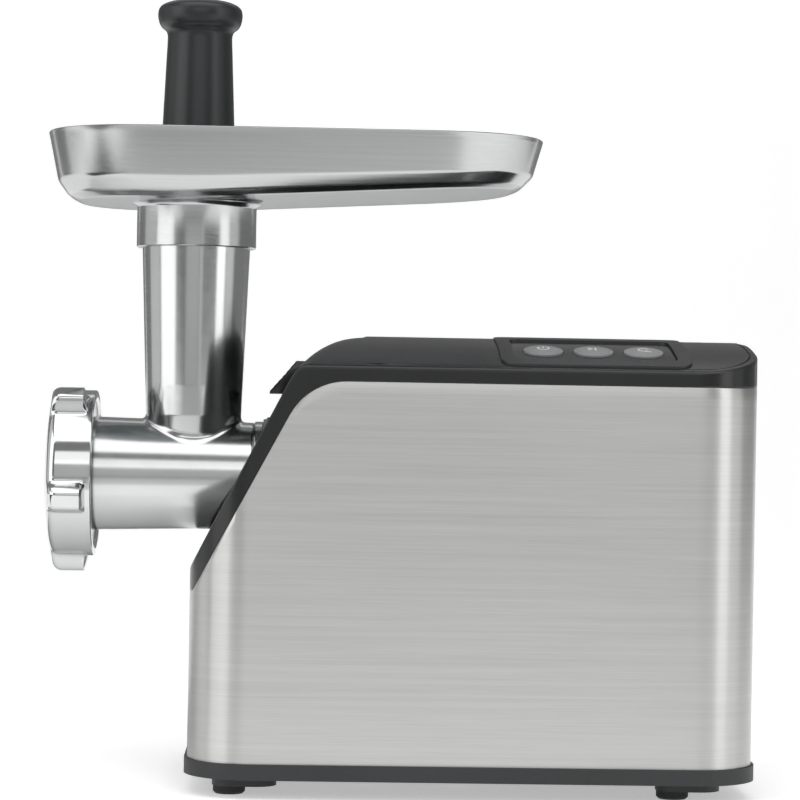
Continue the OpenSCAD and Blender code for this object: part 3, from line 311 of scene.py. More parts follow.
def cover_height(x, y, lower=0.0):
    """Height of the cover's top: the lower of the crown's arc over y and the side view over x, with the
    crease where they cross rounded off. lower moves both inwards."""
    crown = crest - crown_r + np.sqrt((crown_r - lower)**2 - y**2)
    side = side_height(x, slope_foot, slope_angle, steel_low[0] + lower / np.sin(slope_angle), crest - lower,
                       bend_r - lower, rear_r, rear_drop)
    soft = 2.2 * MM
    near = np.clip(soft - np.abs(crown - side), 0, None) / soft
    flat = (x > steel_low[0] + 75 * MM) & (x < steel_high[0] - rear_r)
    return np.where(flat, np.minimum(crown, side), np.minimum(crown, side) - near**2 * soft / 4)


# A fine groove parts the crowned panel from the rim round it: depth in from the outline, and its sink
groove_steps = np.array([(1.9, 0), (2.9, 0), (3.05, 0.5), (3.35, 0.75), (3.65, 0.5), (3.8, 0), (4.6, 0)]) * MM


def cover_skin(lower, foot_drop):
    """Rings of points from the seam up the wall, round the top edge and in to the corner centres, then the
    rectangle between the corner centres. lower moves the skin inwards, foot_drop its foot down."""
    rings = []
    base, normal = footprint(lower)
    seam = seam_height(footprint(0)[0][:, 0]) - foot_drop
    top = cover_height(base[:, 0], base[:, 1], lower)
    small = np.minimum(top_round, 0.7 * (top - seam))
    for up in np.linspace(0, 1, 8):
        rings.append(np.column_stack([base, seam + (top - small - seam) * up]))
    for angle in np.radians(np.linspace(15, 90, 6)):
        depth = (small * (1 - np.cos(angle)))[:, None]
        ring = base - normal * depth
        height = cover_height(ring[:, 0], ring[:, 1], lower) - small * (1 - np.sin(angle))
        rings.append(np.column_stack([ring, height]))
    for depth, sink in groove_steps:
        ring = base - normal * np.maximum(depth, small)[:, None]
        height = cover_height(ring[:, 0], ring[:, 1], lower)
        if lower == 0:
            height = height - sink * np.clip((ring[:, 0] - steel_low[0]) / (25 * MM) - 3, 0, 1)
        rings.append(np.column_stack([ring, height]))
    for share in np.linspace(0, 1, 14)[1:]:
        depth = groove_steps[-1][0] * (1 - share) + (corner_r - lower) * share
        ring = base - normal * depth
        rings.append(np.column_stack([ring, cover_height(ring[:, 0], ring[:, 1], lower)]))
    x = np.linspace(-1, 1, side_steps) * (plan_half[0] - corner_r) + plan_mid[0]
    y = np.linspace(-1, 1, end_steps) * (plan_half[1] - corner_r) + plan_mid[1]
    gx, gy = np.meshgrid(x, y, indexing="ij")
    middle = np.stack([gx, gy, cover_height(gx, gy, lower)], -1)
    return np.array(rings), middle


outer, outer_middle = cover_skin(0.0, 0.0)
inner, inner_middle = cover_skin(cover_t, 6 * MM)
rim = np.stack([outer[0], inner[0]])
top_cover = sheet_metal("top_cover_shell", (outer, False, True), (outer_middle, False, False),
                        (inner, False, True), (inner_middle, False, False), (rim, False, True), sharp=30)


def shown_mesh(piece):
    """A new mesh of what a piece's modifiers make of it."""
    return bpy.data.meshes.new_from_object(piece.evaluated_get(bpy.context.evaluated_depsgraph_get()))


def settle(piece, sharp):
    """Makes what a piece's modifiers show its own mesh, with edges over sharp degrees crisp."""
    done = shown_mesh(piece)
    piece.modifiers.clear()
    piece.data = done
    done.shade_smooth()
    done.set_sharp_from_angle(angle=np.radians(sharp))


def cut_away(piece, *cutters):
    """Takes the cutters' closed forms out of a piece with a Boolean modifier, and keeps its crisp edges."""
    for cutter in cutters:
        cut = piece.modifiers.new("cut", "BOOLEAN")
        cut.object, cut.operation, cut.solver = cutter, "DIFFERENCE", "EXACT"
    settle(piece, 30)
    for cutter in cutters:
        bpy.data.objects.remove(cutter)


def turned(profile, steps=96):
    """A grid of points from a profile of (along, radius) pairs turned about X, ready to be placed."""
    along, radius = np.array(profile).T
    angle = np.linspace(0, 2 * np.pi, steps, endpoint=False)
    return np.stack([np.broadcast_to(along[:, None], (len(along), steps)), radius[:, None] * np.cos(angle),
                     radius[:, None] * np.sin(angle)], -1)


def upright(profile, x=0.0, steps=96):
    """A grid of points from a profile of (height, radius) pairs turned about an upright axis at x."""
    ring = turned(profile, steps)
    return np.stack([ring[..., 1] + x, ring[..., 2], ring[..., 0]], -1)


def capped(name, rings):
    """A closed form from rings of points, with a flat face over its first ring and over its last."""
    form = sheet_metal(name, (np.array(rings), False, True))
    work = bmesh.new()
    work.from_mesh(form.data)
    bmesh.ops.holes_fill(work, edges=work.edges, sides=0)
    bmesh.ops.recalc_face_normals(work, faces=work.faces)
    work.to_mesh(form.data)
    work.free()
    return form


def prism(name, outline, depth, sharp=25):
    """A closed bar: an outline in X and Z, carried from -depth / 2 to depth / 2 along Y."""
    outline = np.array(outline, float)
    mid = np.broadcast_to(outline.mean(0), outline.shape)
    sides = []
    for flat, y in ((mid, -depth / 2), (outline, -depth / 2), (outline, depth / 2), (mid, depth / 2)):
        sides.append(np.column_stack([flat[:, 0], np.full(len(flat), y), flat[:, 1]]))
    return sheet_metal(name, (np.array(sides), False, True), sharp=sharp)


axis_z = joints["head_twist"]["pos_m"][2]
barrel_axis = np.array([0, 0, axis_z])
mouth_x = joints["head_twist"]["pos_m"][0]
tunnel_r, lip_r = 26.58 * MM, 1.1 * MM
tunnel_end = mouth_x + 18.6 * MM
tunnel_front, tunnel_wide = mouth_x - 70 * MM, tunnel_r + lip_r
tunnel = turned([(tunnel_front, 0), (tunnel_front, tunnel_wide), (tunnel_end, tunnel_wide), (tunnel_end, 0)])
lever_low, lever_high = box_of("release_lever")
lever_w = lever_high[1] - lever_low[1]
pivot = np.array(joints["lever_press"]["pos_m"])
well = prism("lever_well", np.array([[-32, -12.2], [-12, -12.2], [-4, -2], [-4, 22], [-32, 22]]) * MM
             + pivot[[0, 2]], lever_w + 0.8 * MM)
frame_low, frame_high = box_of("panel_frame")


def panel_opening(lap=2 * MM, corner=6 * MM):
    """Outline of the cover's opening under the panel's frame, which laps over it all round."""
    centres = ((frame_high - frame_low)[:2] / 2 - lap - corner) * corner_signs
    bends = []
    for k in range(4):
        angle = np.pi / 2 * k + np.radians(np.linspace(0, 90, 7))
        bends.append(centres[k] + corner * np.column_stack([np.cos(angle), np.sin(angle)]))
    return np.concatenate(bends) + (frame_low + frame_high)[:2] / 2


opening = panel_opening()
panel_cut = capped("panel_cut", [np.column_stack([opening, np.full(len(opening), height)])
                                 for height in (crest - 22 * MM, crest + 5 * MM)])
cut_away(top_cover, sheet_metal("tunnel_cut", (tunnel + barrel_axis, False, True)), well, panel_cut)


def tunnel_lining():
    """Rings round the barrel axis: the lip rounds over from the cover's slope into the bore, the bore runs
    back to the socket and the lining's outside returns. Each point's x follows the slope at its height."""
    angle = np.linspace(0, 2 * np.pi, 120, endpoint=False)
    turn = np.radians(np.linspace(0, 90, 6))
    rows = [(False, tunnel_r + lip_r * (1 - np.sin(a)), lip_r * (1 - np.cos(a))) for a in turn]
    rows += [(True, tunnel_r, 0.0), (True, tunnel_wide, 0.0), (False, tunnel_wide, cover_t)]
    rings = []
    for back, radius, depth in rows:
        height = axis_z + radius * np.sin(angle)
        front = steel_low[0] + (height - slope_foot) / np.tan(slope_angle) + depth / np.sin(slope_angle)
        rings.append(np.column_stack([np.where(back, tunnel_end, front), radius * np.cos(angle), height]))
    return np.array(rings)


lining = sheet_metal("tunnel_lining", (tunnel_lining(), True, True), sharp=50)

moulded = Finish("satin_black_abs", IOR=1.48)
grain = moulded.noise(1400, detail=2.0)
drift = moulded.noise(25)
moulded.set(Base_Color=moulded.blend(drift, (0.009, 0.0095, 0.010), (0.014, 0.0145, 0.015)),
            Roughness=0.20 + 0.08 * drift)
moulded.relief(grain, 1.2e-5, 0.18)
fit_out(top_cover, "root", "cover_plastic", moulded, "top_cover")
fit_out(lining, "root", "cover_plastic", moulded)


# ----------------------------------------
# Grinding head
# An aluminium casting: the barrel and the feed tube are one piece with a soft fillet between them, polished
# after casting. Its flange and neck lock into the socket of the housing.
head_low, head_high = box_of("head_barrel")
nut_low, nut_high = box_of("ring_nut")
pusher_low, pusher_high = box_of("pusher")
tube_x = (pusher_low[0] + pusher_high[0]) / 2
nut_back = nut_high[0] - 2.2 * MM
flange_x = mouth_x - 4 * MM
tube_top = head_high[2]
chamber_r = 21 * MM
# Outer half sizes of the feed tube, along and across, and its bore, at heights above the floor
tube_levels = np.array([136, 153, 163, 176, 238, 260]) * MM
tube_long = np.array([21.3, 21.4, 21.6, 22.0, 24.3, 24.3]) * MM
tube_wide = np.array([18.0, 18.4, 20.4, 21.4, 24.3, 24.3]) * MM
bore_levels = np.array([136, 160.6, 161.3, 256]) * MM
bore_radii = np.array([16.2, 16.2, 18.65, 21.3]) * MM


def smooth_min(a, b, soft):
    """The lower of two fields, rounded off over a distance soft where they are equal."""
    near = np.clip(soft - np.abs(a - b), 0, None) / soft
    return np.minimum(a, b) - near**2 * soft / 4


def head_field(p):
    """Signed distance to the casting's skin: barrel joined to tube with a crisp fillet, less both bores, cut
    level at the top of the tube and square at both ends of the barrel. The tube narrows to the barrel and is
    flatter across there."""
    x, y, z = p.T
    span = np.hypot(y, z - axis_z)
    barrel = span - np.interp(x, [nut_back - 2 * MM, flange_x], [25.7 * MM, 24.0 * MM])
    long_r = np.interp(z, tube_levels, tube_long)
    reach = np.hypot(x - tube_x, y * long_r / np.interp(z, tube_levels, tube_wide))
    tube = np.maximum(reach - long_r, axis_z - z)
    body = smooth_min(barrel, tube, 2.4 * MM)
    across = np.hypot(x - tube_x, y) - np.interp(z, bore_levels, bore_radii)
    bore = np.minimum(span - chamber_r, np.maximum(across, axis_z - z))
    body = -smooth_min(-body, bore, 0.5 * MM)
    ends = np.maximum(np.maximum(nut_back - 3 * MM - x, x - flange_x), z - tube_top)
    return -smooth_min(-body, -ends, 0.8 * MM)


def field_slope(field, points):
    """The field's slope at each point, from its change over a short step along each axis."""
    nudge = 2e-5
    return np.stack([(field(points + nudge * axis) - field(points - nudge * axis)) / (2 * nudge)
                     for axis in np.eye(3)], -1)


def cast_skin(name, field, rough, cell, passes=6):
    """Gives a rough closed form an even mesh with a Remesh modifier, then moves each point along the
    field's slope until it lies on the field's zero, as a mould would shape it."""
    work = rough.modifiers.new("even", "REMESH")
    work.mode, work.voxel_size = "VOXEL", cell
    mesh = shown_mesh(rough)
    bpy.data.objects.remove(rough)
    points = np.empty(len(mesh.vertices) * 3)
    mesh.vertices.foreach_get("co", points)
    points = points.reshape(-1, 3)
    for _ in range(passes):
        here, slope = field(points), field_slope(field, points)
        size = np.maximum((slope**2).sum(-1), 0.2)
        points = points - np.clip(here / size, -cell, cell)[:, None] * slope
    mesh.vertices.foreach_set("co", points.ravel())
    piece = solid_piece(name, mesh, sharp=180, weld=1e-6)
    points = np.empty(len(mesh.vertices) * 3)
    mesh.vertices.foreach_get("co", points)
    slope = field_slope(field, points.reshape(-1, 3))
    mesh.normals_split_custom_set_from_vertices(slope / np.linalg.norm(slope, axis=1)[:, None])
    return piece


rough_barrel = turned([(nut_back - 3 * MM, 0), (nut_back - 3 * MM, 25.6 * MM), (flange_x, 23.5 * MM),
                       (flange_x, 0)], 48) + barrel_axis


def tube_form(levels, long_r, wide_r):
    """An upright closed form about the feed tube's axis, from its half sizes along and across by height."""
    turn = np.linspace(0, 2 * np.pi, 64, endpoint=False)
    levels, long_r, wide_r = (np.concatenate([ends[:1], row, ends[1:]]) for row, ends in (
        (levels, levels[[0, -1]]), (long_r, np.zeros(2)), (wide_r, np.zeros(2))))
    return np.stack([tube_x + long_r[:, None] * np.cos(turn), wide_r[:, None] * np.sin(turn),
                     np.broadcast_to(levels[:, None], (len(levels), 64))], -1)


outer_levels = np.minimum(tube_levels, tube_top)
rough_tube = tube_form(outer_levels, tube_long, tube_wide)
rough_head = sheet_metal("rough_head", (rough_barrel, False, True))
rough_head.modifiers.new("join", "BOOLEAN").operation = "UNION"
rough_head.modifiers["join"].object = sheet_metal("rough_tube", (rough_tube, False, True))
bore_start, bore_end = nut_low[0], flange_x + 9 * MM
barrel_bore = turned([(bore_start, 0), (bore_start, chamber_r), (bore_end, chamber_r), (bore_end, 0)], 48)
tube_bore = tube_form(bore_levels + [0, 0, 0, 5 * MM], bore_radii, bore_radii)
for bore_cut in (sheet_metal("barrel_bore", (barrel_bore + barrel_axis, False, True)),
                 sheet_metal("tube_bore", (tube_bore, False, True))):
    drill = rough_head.modifiers.new("drill", "BOOLEAN")
    drill.operation, drill.object = "DIFFERENCE", bore_cut
grinding_head = cast_skin("grinding_head", head_field, rough_head, 0.9 * MM)
for helper in ("rough_tube", "barrel_bore", "tube_bore"):
    bpy.data.objects.remove(bpy.data.objects[helper])

flange = turned([(-4, 21), (-4, 24.1), (-3.5, 24.6), (-0.5, 24.6), (0, 24.1), (0, 21.5), (13.4, 21.5),
                 (14, 21), (14, 11.1), (-2, 11.1), (-2, 21)]) * MM + barrel_axis + [mouth_x, 0, 0]
thread_x0, thread_x1 = head_low[0], nut_back - 1.4 * MM
plate_x1, chamber_x1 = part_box("cutting_plate")[1][0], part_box("knife")[1][0] + 1 * MM
coarse = np.linspace(thread_x0 + 1 * MM, thread_x1 - 1 * MM, 49)
crests = [(x, 32.65 * MM + 0.35 * MM * np.cos(np.pi * step)) for step, x in enumerate(coarse)]
thread = turned([(thread_x0, 27.1 * MM), (thread_x0, 32.2 * MM)] + crests + [
    (thread_x1, 32.2 * MM), (thread_x1, chamber_r), (chamber_x1, chamber_r), (chamber_x1, 25.5 * MM),
    (plate_x1, 25.5 * MM), (plate_x1, 27.1 * MM)]) + barrel_axis


def lug(angle):
    """A bayonet lug: a bar of four corners carried 40 degrees round the neck, with its ends closed."""
    sweep = np.radians(angle + np.array([-20, -20, -14, -7, 0, 7, 14, 20, 20]))
    corners = np.array([(8, 21), (12, 21), (12, 24.2), (8, 24.2)]) * MM
    ring = np.repeat(corners[None], len(sweep), 0)
    ring[[0, -1]] = corners.mean(0)
    return np.stack([ring[..., 0] + mouth_x, ring[..., 1] * np.cos(sweep)[:, None],
                     ring[..., 1] * np.sin(sweep)[:, None] + axis_z], -1)


head_ends = sheet_metal("head_ends", (flange, True, True), (thread, True, True),
                        *[(lug(angle), False, True) for angle in (0, 180)])

cast = Finish("polished_cast_aluminium", Metallic=1.0)
swirl = cast.noise((180, 180, 260), detail=4.0, roughness=0.6)
patch = cast.noise((28, 28, 22), detail=2.0)
cast.set(Base_Color=cast.blend(patch, (0.57, 0.58, 0.58), (0.68, 0.69, 0.69)), Roughness=0.13 + 0.09 * swirl)
cast.relief(swirl * 0.4 + patch * 0.6, 4e-5, 0.25)
fit_out(grinding_head, "head", "head_metal", cast, "head_barrel")
fit_out(head_ends, "head", "head_metal", cast)


# ----------------------------------------
# Ring nut
# A polished aluminium casting with five grip lobes, screwed on the front of the barrel. Its front edge is
# bevelled, and the mouth in its face shows the cutting plate.
lobe_out, lobe_in, lobes = 44.2 * MM, 37.5 * MM, 5
phase, lobe_full, lobe_foot = np.radians(195.2), np.radians(4.0), np.radians(11.8)
around = np.linspace(0, 2 * np.pi, 360, endpoint=False)


def lobe_radius(angle):
    """Radius of the nut's grip: lobe_in between lobes, rising on an S-shaped flank to lobe_out on each."""
    half = np.pi / lobes
    off = np.abs((angle - phase + half) % (2 * half) - half)
    share = np.clip((lobe_foot - off) / (lobe_foot - lobe_full), 0, 1)
    return lobe_in + (lobe_out - lobe_in) * share**2 * (3 - 2 * share)


def nut_ring(x, radius):
    """A ring of points whose place along the axis and radius may vary round the barrel axis."""
    x, radius = np.broadcast_to(x, around.shape), np.broadcast_to(radius, around.shape)
    return np.column_stack([x, radius * np.cos(around), axis_z + radius * np.sin(around)])


grip = lobe_radius(around)
face_x, back_x = nut_low[0], nut_back
mouth, round_front, round_back = 23 * MM, 4.4 * MM, 0.8 * MM
flat_r = mouth + 1.6 * MM
face_fall = 0.16


def dish(radius):
    """How far the nut's face falls back at a radius: a shallow cone that starts at the mouth."""
    return face_fall * np.clip(radius - flat_r, 0, None)


rings = [nut_ring(face_x + x, radius) for x, radius in (
    (back_x - face_x - 1 * MM, 33.06 * MM), (3.6 * MM, 33.06 * MM), (3.6 * MM, mouth + 0.4 * MM),
    (3.0 * MM, mouth), (1.4 * MM, mouth), (0.6 * MM, mouth + 0.25 * MM), (0.2 * MM, mouth + 0.7 * MM),
    (0, flat_r))]
face_edge = grip - round_front
for share in np.linspace(0, 1, 5)[1:-1]:
    radius = flat_r + (face_edge - flat_r) * share
    rings.append(nut_ring(face_x + dish(radius), radius))
for turn in np.radians(np.linspace(0, 90, 14)):
    rings.append(nut_ring(face_x + dish(face_edge) + round_front * (1 - np.cos(turn)),
                          face_edge + round_front * np.sin(turn)))
pad_end, pad_fall = back_x - 4.6 * MM, 2.0 * MM
shoulder = face_x + dish(face_edge) + round_front
for share in np.linspace(0, 1, 6)[1:]:
    rings.append(nut_ring(shoulder + (pad_end - shoulder) * share, grip))
for share in np.linspace(0, 1, 5)[1:]:
    # Each lobe ends in a bevel, short of the plain rim at the back
    rings.append(nut_ring(pad_end + pad_fall * share, lobe_in + (grip - lobe_in) * (1 - share)))
for turn in np.radians(np.linspace(0, 90, 5)):
    rings.append(nut_ring(back_x - round_back * (1 - np.sin(turn)),
                          lobe_in - round_back * (1 - np.cos(turn))))
rings.append(nut_ring(back_x, 34.2 * MM))
ring_nut = sheet_metal("ring_nut_grip", (np.array(rings), True, True), sharp=35)

polished = Finish("polished_ring_aluminium", Metallic=1.0)
haze = polished.noise(60)
polished.set(Base_Color=polished.blend(haze, (0.62, 0.63, 0.63), (0.70, 0.71, 0.71)),
             Roughness=0.07 + 0.07 * haze)
polished.relief(polished.noise(90, detail=2.0), 6e-5, 0.2)
fit_out(ring_nut, "nut", "ring_metal", polished, "ring_nut")


# ----------------------------------------
# Food tray
# Drawn from aluminium sheet: a shallow trough with leaning walls whose floor falls towards the feed hole,
# and a collar under it that sits on the feed tube.
tray_low, tray_high = box_of("food_tray")
tray_half = (tray_high - tray_low)[:2] / 2
tray_mid = (tray_high + tray_low)[:2] / 2
tray_corner = 58 * MM
hole_r = 21.3 * MM
floor_z = tray_high[2] - 30 * MM
tray_t = 1.2 * MM
floor_slope, level_reach = 0.055, 10 * MM


def tray_outline(inset, count=400):
    """Outline of the tray moved inwards by inset, met by rays from the feed hole at even steps of an
    eased angle: a rectangle whose corners bend slowly at first and quickest in their middle."""
    radius = np.maximum(tray_corner - inset, 2 * MM)
    half = tray_half - tray_corner
    angle = np.linspace(0, 2 * np.pi, count, endpoint=False)
    flat = np.array([np.cos(angle), np.sin(angle)]).T
    start = np.array([tube_x, 0.0]) - tray_mid
    low, high = np.zeros(count), np.full(count, 0.4)
    for _ in range(40):
        middle = (low + high) / 2
        spot = np.abs(start + flat * middle[:, None]) - half
        far = (np.clip(spot, 0, None)**2.5).sum(-1)**0.4 + np.minimum(spot.max(-1), 0) > radius
        low, high = np.where(far, low, middle), np.where(far, middle, high)
    return tray_mid + start + flat * low[:, None]


def soft_profile(points, radius, steps=8):
    """A profile of straight runs whose inner corners are rounded: each corner is replaced by a parabola
    between the points that lie radius before and after it."""
    points = np.array(points, float)
    done = [points[:1]]
    share = np.linspace(0, 1, steps)[:, None]
    for before, corner, after in zip(points, points[1:], points[2:]):
        reach = [min(radius, 0.45 * np.linalg.norm(corner - end)) for end in (before, after)]
        first = corner + (before - corner) / np.linalg.norm(before - corner) * reach[0]
        last = corner + (after - corner) / np.linalg.norm(after - corner) * reach[1]
        done.append(first * (1 - share)**2 + 2 * corner * share * (1 - share) + last * share**2)
    return np.concatenate(done + [points[-1:]])


def tray_rise(ring):
    """How far the floor has risen at each point: none in front of the feed tube, then an even slope."""
    away = ring[:, 0] - tube_x
    start = np.clip(away + level_reach, 0, None)**2 / (4 * level_reach)
    return floor_slope * np.where(away > level_reach, away, start)


def tray_skin(thick):
    """Rings from the rim down the leaning wall to a crease, over a steep band and a tight fold to the floor,
    and in to the hole."""
    section = np.array([(0, 29.6), (0.4, 28), (4.4, 8.4), (8.8, 2.4), (13.5, 0), (22, 0)]) * MM
    rings = []
    for reach, height in soft_profile(section, 1.3 * MM, 6):
        ring = tray_outline(reach + thick)
        share = np.clip(1 - height / section[1, 1], 0, 1)
        level = floor_z + height + thick * (height < 4 * MM) + tray_rise(ring) * share
        rings.append(np.column_stack([ring, level]))
    last = rings[-1][:, :2]
    around_hole = np.arctan2(last[:, 1], last[:, 0] - tube_x)
    hole = np.column_stack([tube_x + hole_r * np.cos(around_hole), hole_r * np.sin(around_hole)])
    for share in np.linspace(0, 1, 14)[1:]:
        ring = last + (hole - last) * share
        rings.append(np.column_stack([ring, floor_z + thick + tray_rise(ring)]))
    return np.array(rings)


outside, inside = tray_skin(0.0), tray_skin(tray_t)
middle_line = (outside[0] + inside[0]) / 2 + [0, 0, 0.4 * MM]
lip = np.stack([outside[0], (outside[0] + middle_line) / 2 + [0, 0, 0.12 * MM], middle_line,
                (inside[0] + middle_line) / 2 + [0, 0, 0.12 * MM], inside[0]])
hole_edge = np.stack([outside[-1], inside[-1]])
collar = upright(np.array([(238.6, 24.36), (238.6, 26.6), (239.0, 27), (256.5, 27), (257.6, 27.4),
                           (258.3, 28.6), (258.6, 30), (258.9, 30), (258.9, 24.36)]) * MM, tube_x)
food_tray = sheet_metal("food_tray_sheet", (outside, False, True), (inside, False, True), (lip, False, True),
                        (hole_edge, False, True), (collar, True, True), sharp=40)
satin = Finish("satin_tray_aluminium", Metallic=1.0)
scratch = satin.noise((14, 300, 1500))
# Faces turned downwards take a darker base colour: painted shade on the tray's underside, standing in for the
# shadow under it
painted_underside_shade = satin.band(0 - satin.part(satin.node("TexCoord", output=1), 2), 0.80, 0.97)
above_tone = satin.blend(scratch, (0.49, 0.50, 0.50), (0.60, 0.61, 0.61))
satin.set(Base_Color=satin.blend(painted_underside_shade, above_tone, (0.27, 0.29, 0.295)), Roughness=0.15 + 0.10 * scratch)
satin.relief(scratch, 1e-5, 0.25)
fit_out(food_tray, "tray", "tray_metal", satin, "food_tray")


# ----------------------------------------
# Pusher
# A black polypropylene moulding in one piece: a plug that fills the feed tube, a tapering handle and the
# round knob that the hand presses down.
knob_top = pusher_high[2]
pusher_profile = soft_profile([
    (161.5 * MM, 0), (161.5 * MM, 18.4 * MM), (243.6 * MM, 18.4 * MM), (300 * MM, 16.0 * MM),
    (knob_top - 14.2 * MM, 14.45 * MM), (knob_top - 11.8 * MM, 18.0 * MM), (knob_top - 7 * MM, 19.35 * MM),
    (knob_top - 2.6 * MM, 18.6 * MM), (knob_top - 0.2 * MM, 13 * MM), (knob_top, 6 * MM),
    (knob_top, 0)], 3.2 * MM, 9)
pusher = sheet_metal("pusher_handle", (upright(pusher_profile, tube_x), False, True), sharp=50)
satin_black = Finish("satin_black_polypropylene", IOR=1.49)
satin_black.grained(satin_black.noise(900), (0.012, 0.014, 0.015), (0.018, 0.020, 0.021), rough=0.28,
                    spread=0.1, depth=2e-5, strength=0.25, tone=satin_black.noise(30, detail=2.0))
fit_out(pusher, "plunger", "pusher_plastic", satin_black, "pusher")


# ----------------------------------------
# Base
# A black polypropylene pan that carries the motor and the gearbox, with four rubber feet pressed on its
# oblong bosses, long screws up through the bosses, and a bushing for the cord in the rear wall.
pan_plastic = Finish("matte_black_polypropylene", IOR=1.49)
pan_plastic.grained(pan_plastic.noise(700), (0.017, 0.019, 0.020), (0.026, 0.028, 0.029), rough=0.42,
                    spread=0.16, depth=4e-5, strength=0.35, tone=pan_plastic.noise(22, detail=2.0))
dress(pan_plastic, "base_pan")

foot_rubber = Finish("foot_rubber", IOR=1.52)
foot_rubber.grained(foot_rubber.noise(260, detail=4.0, roughness=0.7), (0.010, 0.010, 0.011),
                    (0.030, 0.030, 0.031), rough=0.66, spread=0.2, depth=6e-5, strength=0.4)
dress(foot_rubber, "rubber_feet")

zinc = Finish("zinc_plated_steel", Metallic=1.0)
zinc.grained(zinc.noise(200), (0.58, 0.59, 0.58), (0.72, 0.73, 0.73), rough=0.24, spread=0.16, depth=1e-5,
             strength=0.3, tone=zinc.node("TexVoronoi", None, {"Vector": zinc.place(900), "Scale": 1.0}))
dress(zinc, "base_screws", "board_screws", "socket_screws", "gearbox_screws", "motor_bolts", "chassis_screws")

bushing = Finish("bushing_vinyl", IOR=1.5)
bushing.grained(bushing.noise(500, detail=2.0), (0.012, 0.012, 0.013), (0.022, 0.022, 0.023), rough=0.5,
                spread=0.15, depth=3e-5, strength=0.3)
dress(bushing, "cord_gland")


# ----------------------------------------
# Control panel
# A dark satin frame with a glossy insert let into the crown, and three satin grey push buttons that pass
# through it. Each cap is domed, with a fine ring near its edge and a printed sign; a coil spring lifts it.
panel_out = -np.array(joints["power_press"]["axis"])
panel_up = np.array([0, panel_out[2], -panel_out[1]])
cap_r, cap_low, stem_low, stem_r = 8.75 * MM, -4.2 * MM, -13.0 * MM, 2.9 * MM
dome_r, dome_top = 60 * MM, 1.5 * MM


def on_panel(points, middle_x):
    """Takes points of (along, up the crown, out of it) to the crown's face over the row of buttons."""
    foot = np.array([middle_x, 0, crest - crown_r]) + crown_r * panel_out
    return foot + points[..., :1] * [1, 0, 0] + points[..., 1:2] * panel_up + points[..., 2:] * panel_out


def dome(radius):
    """Height of a cap's face at a radius: the arc of its dome."""
    return dome_top - dome_r + np.sqrt(dome_r**2 - radius**2)


def button_cap(middle_x):
    """The cap's profile of (out, radius) turned about its own middle: stem, flange, wall, rounded edge, the
    fine ring and the dome."""
    turn = np.radians(np.linspace(0, 80, 6))
    edge = 0.8 * MM
    flange_r, flange_top = cap_r + 0.9 * MM, cap_low + 1.1 * MM
    profile = [(stem_low, 0), (stem_low, stem_r - 0.3 * MM), (stem_low + 0.3 * MM, stem_r), (cap_low, stem_r),
               (cap_low, flange_r), (flange_top, flange_r), (flange_top, cap_r)]
    profile += [(dome(cap_r) - edge * (1 - np.sin(a)), cap_r - edge * (1 - np.cos(a))) for a in turn]
    ring_and_face = ((7.45, 0), (7.35, 0.12), (7.15, 0.12), (7.05, 0), (5.5, 0), (3.5, 0), (1.5, 0), (0, 0))
    for radius, sink in ring_and_face:
        profile.append((dome(radius * MM) - sink * MM, radius * MM))
    return on_panel(upright(profile, steps=72), middle_x)


def raised_line(path, width=0.6 * MM, proud=0.1 * MM):
    """A bar of four corners carried along a path on a cap's face, with its ends closed: the print."""
    path = np.array(path, float) * MM
    along = np.gradient(path, axis=0)
    side = np.stack([-along[:, 1], along[:, 0]], -1) / np.linalg.norm(along, axis=1)[:, None] * width / 2
    level = dome(np.linalg.norm(path, axis=1))
    low, high = (level - 0.3 * MM)[:, None], (level + proud)[:, None]
    rows = np.stack([np.hstack([path - side, low]), np.hstack([path + side, low]),
                     np.hstack([path + side, high]), np.hstack([path - side, high])], 1)
    ends = rows[[0, -1]].mean(1, keepdims=True).repeat(4, 1)
    return np.concatenate([ends[:1], rows, ends[1:]])


def bow(radius, start, stop):
    """Points on an arc of a sign, in millimetres, between two angles in degrees."""
    angle = np.radians(np.linspace(start, stop, 24))
    return np.stack([radius * np.cos(angle), radius * np.sin(angle)], -1)


def straight(*ends):
    """Points along straight strokes between ends, five to a stroke."""
    return np.concatenate([np.linspace(a, b, 5)[int(k > 0):] for k, (a, b) in enumerate(zip(ends, ends[1:]))])


signs = {"power": [bow(2.5, 122, 418), straight((0, 0.4), (0, 3.3))],
         "slow": [straight((-2.4, 1.6), (-0.6, 0), (-2.4, -1.6)), straight((0.8, 2.2), (0.8, -2.2))],
         "reverse": [bow(2.4, 30, 300), straight((0.4, -3.4), (1.5, -2.2), (2.9, -3.0))]}

cap_plastic = Finish("satin_grey_abs", IOR=1.5)
cap_plastic.grained(cap_plastic.noise(1200, detail=2.0), (0.22, 0.225, 0.23), (0.27, 0.275, 0.28), rough=0.32,
                    spread=0.1, depth=1.5e-5, strength=0.2, tone=cap_plastic.noise(60, detail=2.0))
print_ink = Finish("pale_print", Roughness=0.6)
print_ink.set(Base_Color=print_ink.blend(print_ink.noise(900), (0.68, 0.68, 0.68), (0.8, 0.8, 0.8)))
for key, strokes in signs.items():
    node = "button_" + key
    middle_x = sum(corner[0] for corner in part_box(node)) / 2
    cap = sheet_metal(key + "_cap", (button_cap(middle_x), False, True), sharp=40)
    fit_out(cap, key + "_key", "button_plastic", cap_plastic, node)
    lines = [(on_panel(raised_line(path), middle_x), False, True) for path in strokes]
    sign = sheet_metal(key + "_sign", *lines)
    fit_out(sign, key + "_key", "button_plastic", print_ink)

